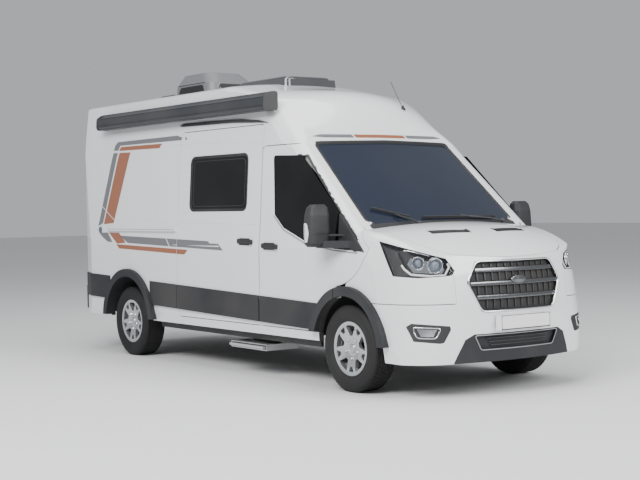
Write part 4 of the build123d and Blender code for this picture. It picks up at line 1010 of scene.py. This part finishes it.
def makeNuts(name, centre, side, body):
    # the wheel nuts and the plain cap in the middle
    points, faces = [], []

    def add(rings, segments, base):
        ring, ringFaces = lathe(rings, segments)
        first = len(points)
        points.extend(Vector(p) + base for p in ring)
        faces.extend(tuple(first + i for i in face) for face in ringFaces)

    for k in range(wheel["nuts"]):
        angle = math.radians(wheel["firstNut"] + 360 / wheel["nuts"] * k)
        add(wheel["nut"], 6, Vector((math.cos(angle), 0, math.sin(angle))) * wheel["nutCircle"])
    add(wheel["cap"], 40, Vector())
    placed = [(centre.x + p.x, centre.y + side * p.y, centre.z + p.z) for p in points]
    piece = meshPiece(name, placed, faces, "nutSteel", body)
    piece.data.set_sharp_from_angle(angle=math.radians(30))


for end, x in axleX.items():
    for side, _, low in sides:
        centre = Vector((x, side * wheelHub["across"], wheelHub["height"]))
        body = f"wheel_{end}_{low}"
        makeTyre(f"tyreTread_{end}_{low}", centre, body, f"tyre_{end}_{low}")
        makeNuts(f"wheelNuts_{end}_{low}", centre, side, body)
        rod(f"wheelValve_{end}_{low}", [centre + Vector((a, side * b, c)) for a, b, c in wheel["valve"]],
            wheel["valveRadius"], "rubber", body)
print("wheels done")

cameraView = {"place": (10.557, -7.3945, 1.5117), "turn": 54.3935, "tilt": 1.4923, "roll": -1.0246,
              "lens": 75.16}
stage = {"floor": (0.72, 0.72, 0.72), "reach": 60.0, "sky": (0.93, 0.96, 1.0), "skyStrength": 0.5}
# place, target, size and power of each light
lights = {"key": ((5, -9, 8), (0.5, 0, 1.2), (8, 5), 1700),
          "front": ((11, 3, 6), (1.5, 0, 1.2), (6, 5), 900),
          "top": ((0, 0, 11), (0, 0, 1), (10, 6), 600)}


def makeFloor():
    mesh = bpy.data.meshes.new("floor")
    reach = stage["reach"]
    mesh.from_pydata([(-reach, -reach, 0), (reach, -reach, 0), (reach, reach, 0), (-reach, reach, 0)], [],
                     [(0, 1, 2, 3)])
    floor = bpy.data.objects.new("floor", mesh)
    bpy.context.scene.collection.objects.link(floor)
    floor.data.materials.append(makeMaterial("floorPaper", stage["floor"], 0.9, dirt=0.0))


def areaLight(name, place, target, size, power):
    light = bpy.data.lights.new(name, "AREA")
    light.shape = "RECTANGLE"
    light.size, light.size_y = size
    light.energy = power
    obj = bpy.data.objects.new(name, light)
    obj.location = place
    obj.rotation_euler = (Vector(target) - Vector(place)).to_track_quat("-Z", "Y").to_euler()
    bpy.context.scene.collection.objects.link(obj)


def makeLights():
    world = bpy.data.worlds.new("studio")
    bpy.context.scene.world = world
    world.use_nodes = True
    sky = world.node_tree.nodes["Background"]
    sky.inputs["Color"].default_value = (*stage["sky"], 1)
    sky.inputs["Strength"].default_value = stage["skyStrength"]
    for name, setting in lights.items():
        areaLight(name, *setting)


def makeCamera():
    turn, tilt, roll = (math.radians(cameraView[key]) for key in ("turn", "tilt", "roll"))
    ahead = Vector((-math.sin(turn) * math.cos(tilt), math.cos(turn) * math.cos(tilt), -math.sin(tilt)))
    right = Vector((math.cos(turn), math.sin(turn), 0))
    up = right.cross(ahead)
    rolledRight = right * math.cos(roll) + up * math.sin(roll)
    rolledUp = up * math.cos(roll) - right * math.sin(roll)
    data = bpy.data.cameras.new("camera")
    data.lens = cameraView["lens"]
    data.sensor_width = 36
    camera = bpy.data.objects.new("camera", data)
    camera.matrix_world = Matrix((
        (rolledRight.x, rolledUp.x, -ahead.x, cameraView["place"][0]),
        (rolledRight.y, rolledUp.y, -ahead.y, cameraView["place"][1]),
        (rolledRight.z, rolledUp.z, -ahead.z, cameraView["place"][2]),
        (0, 0, 0, 1)))
    bpy.context.scene.collection.objects.link(camera)
    bpy.context.scene.camera = camera


makeFloor()
makeLights()
makeCamera()
print("stage ready")
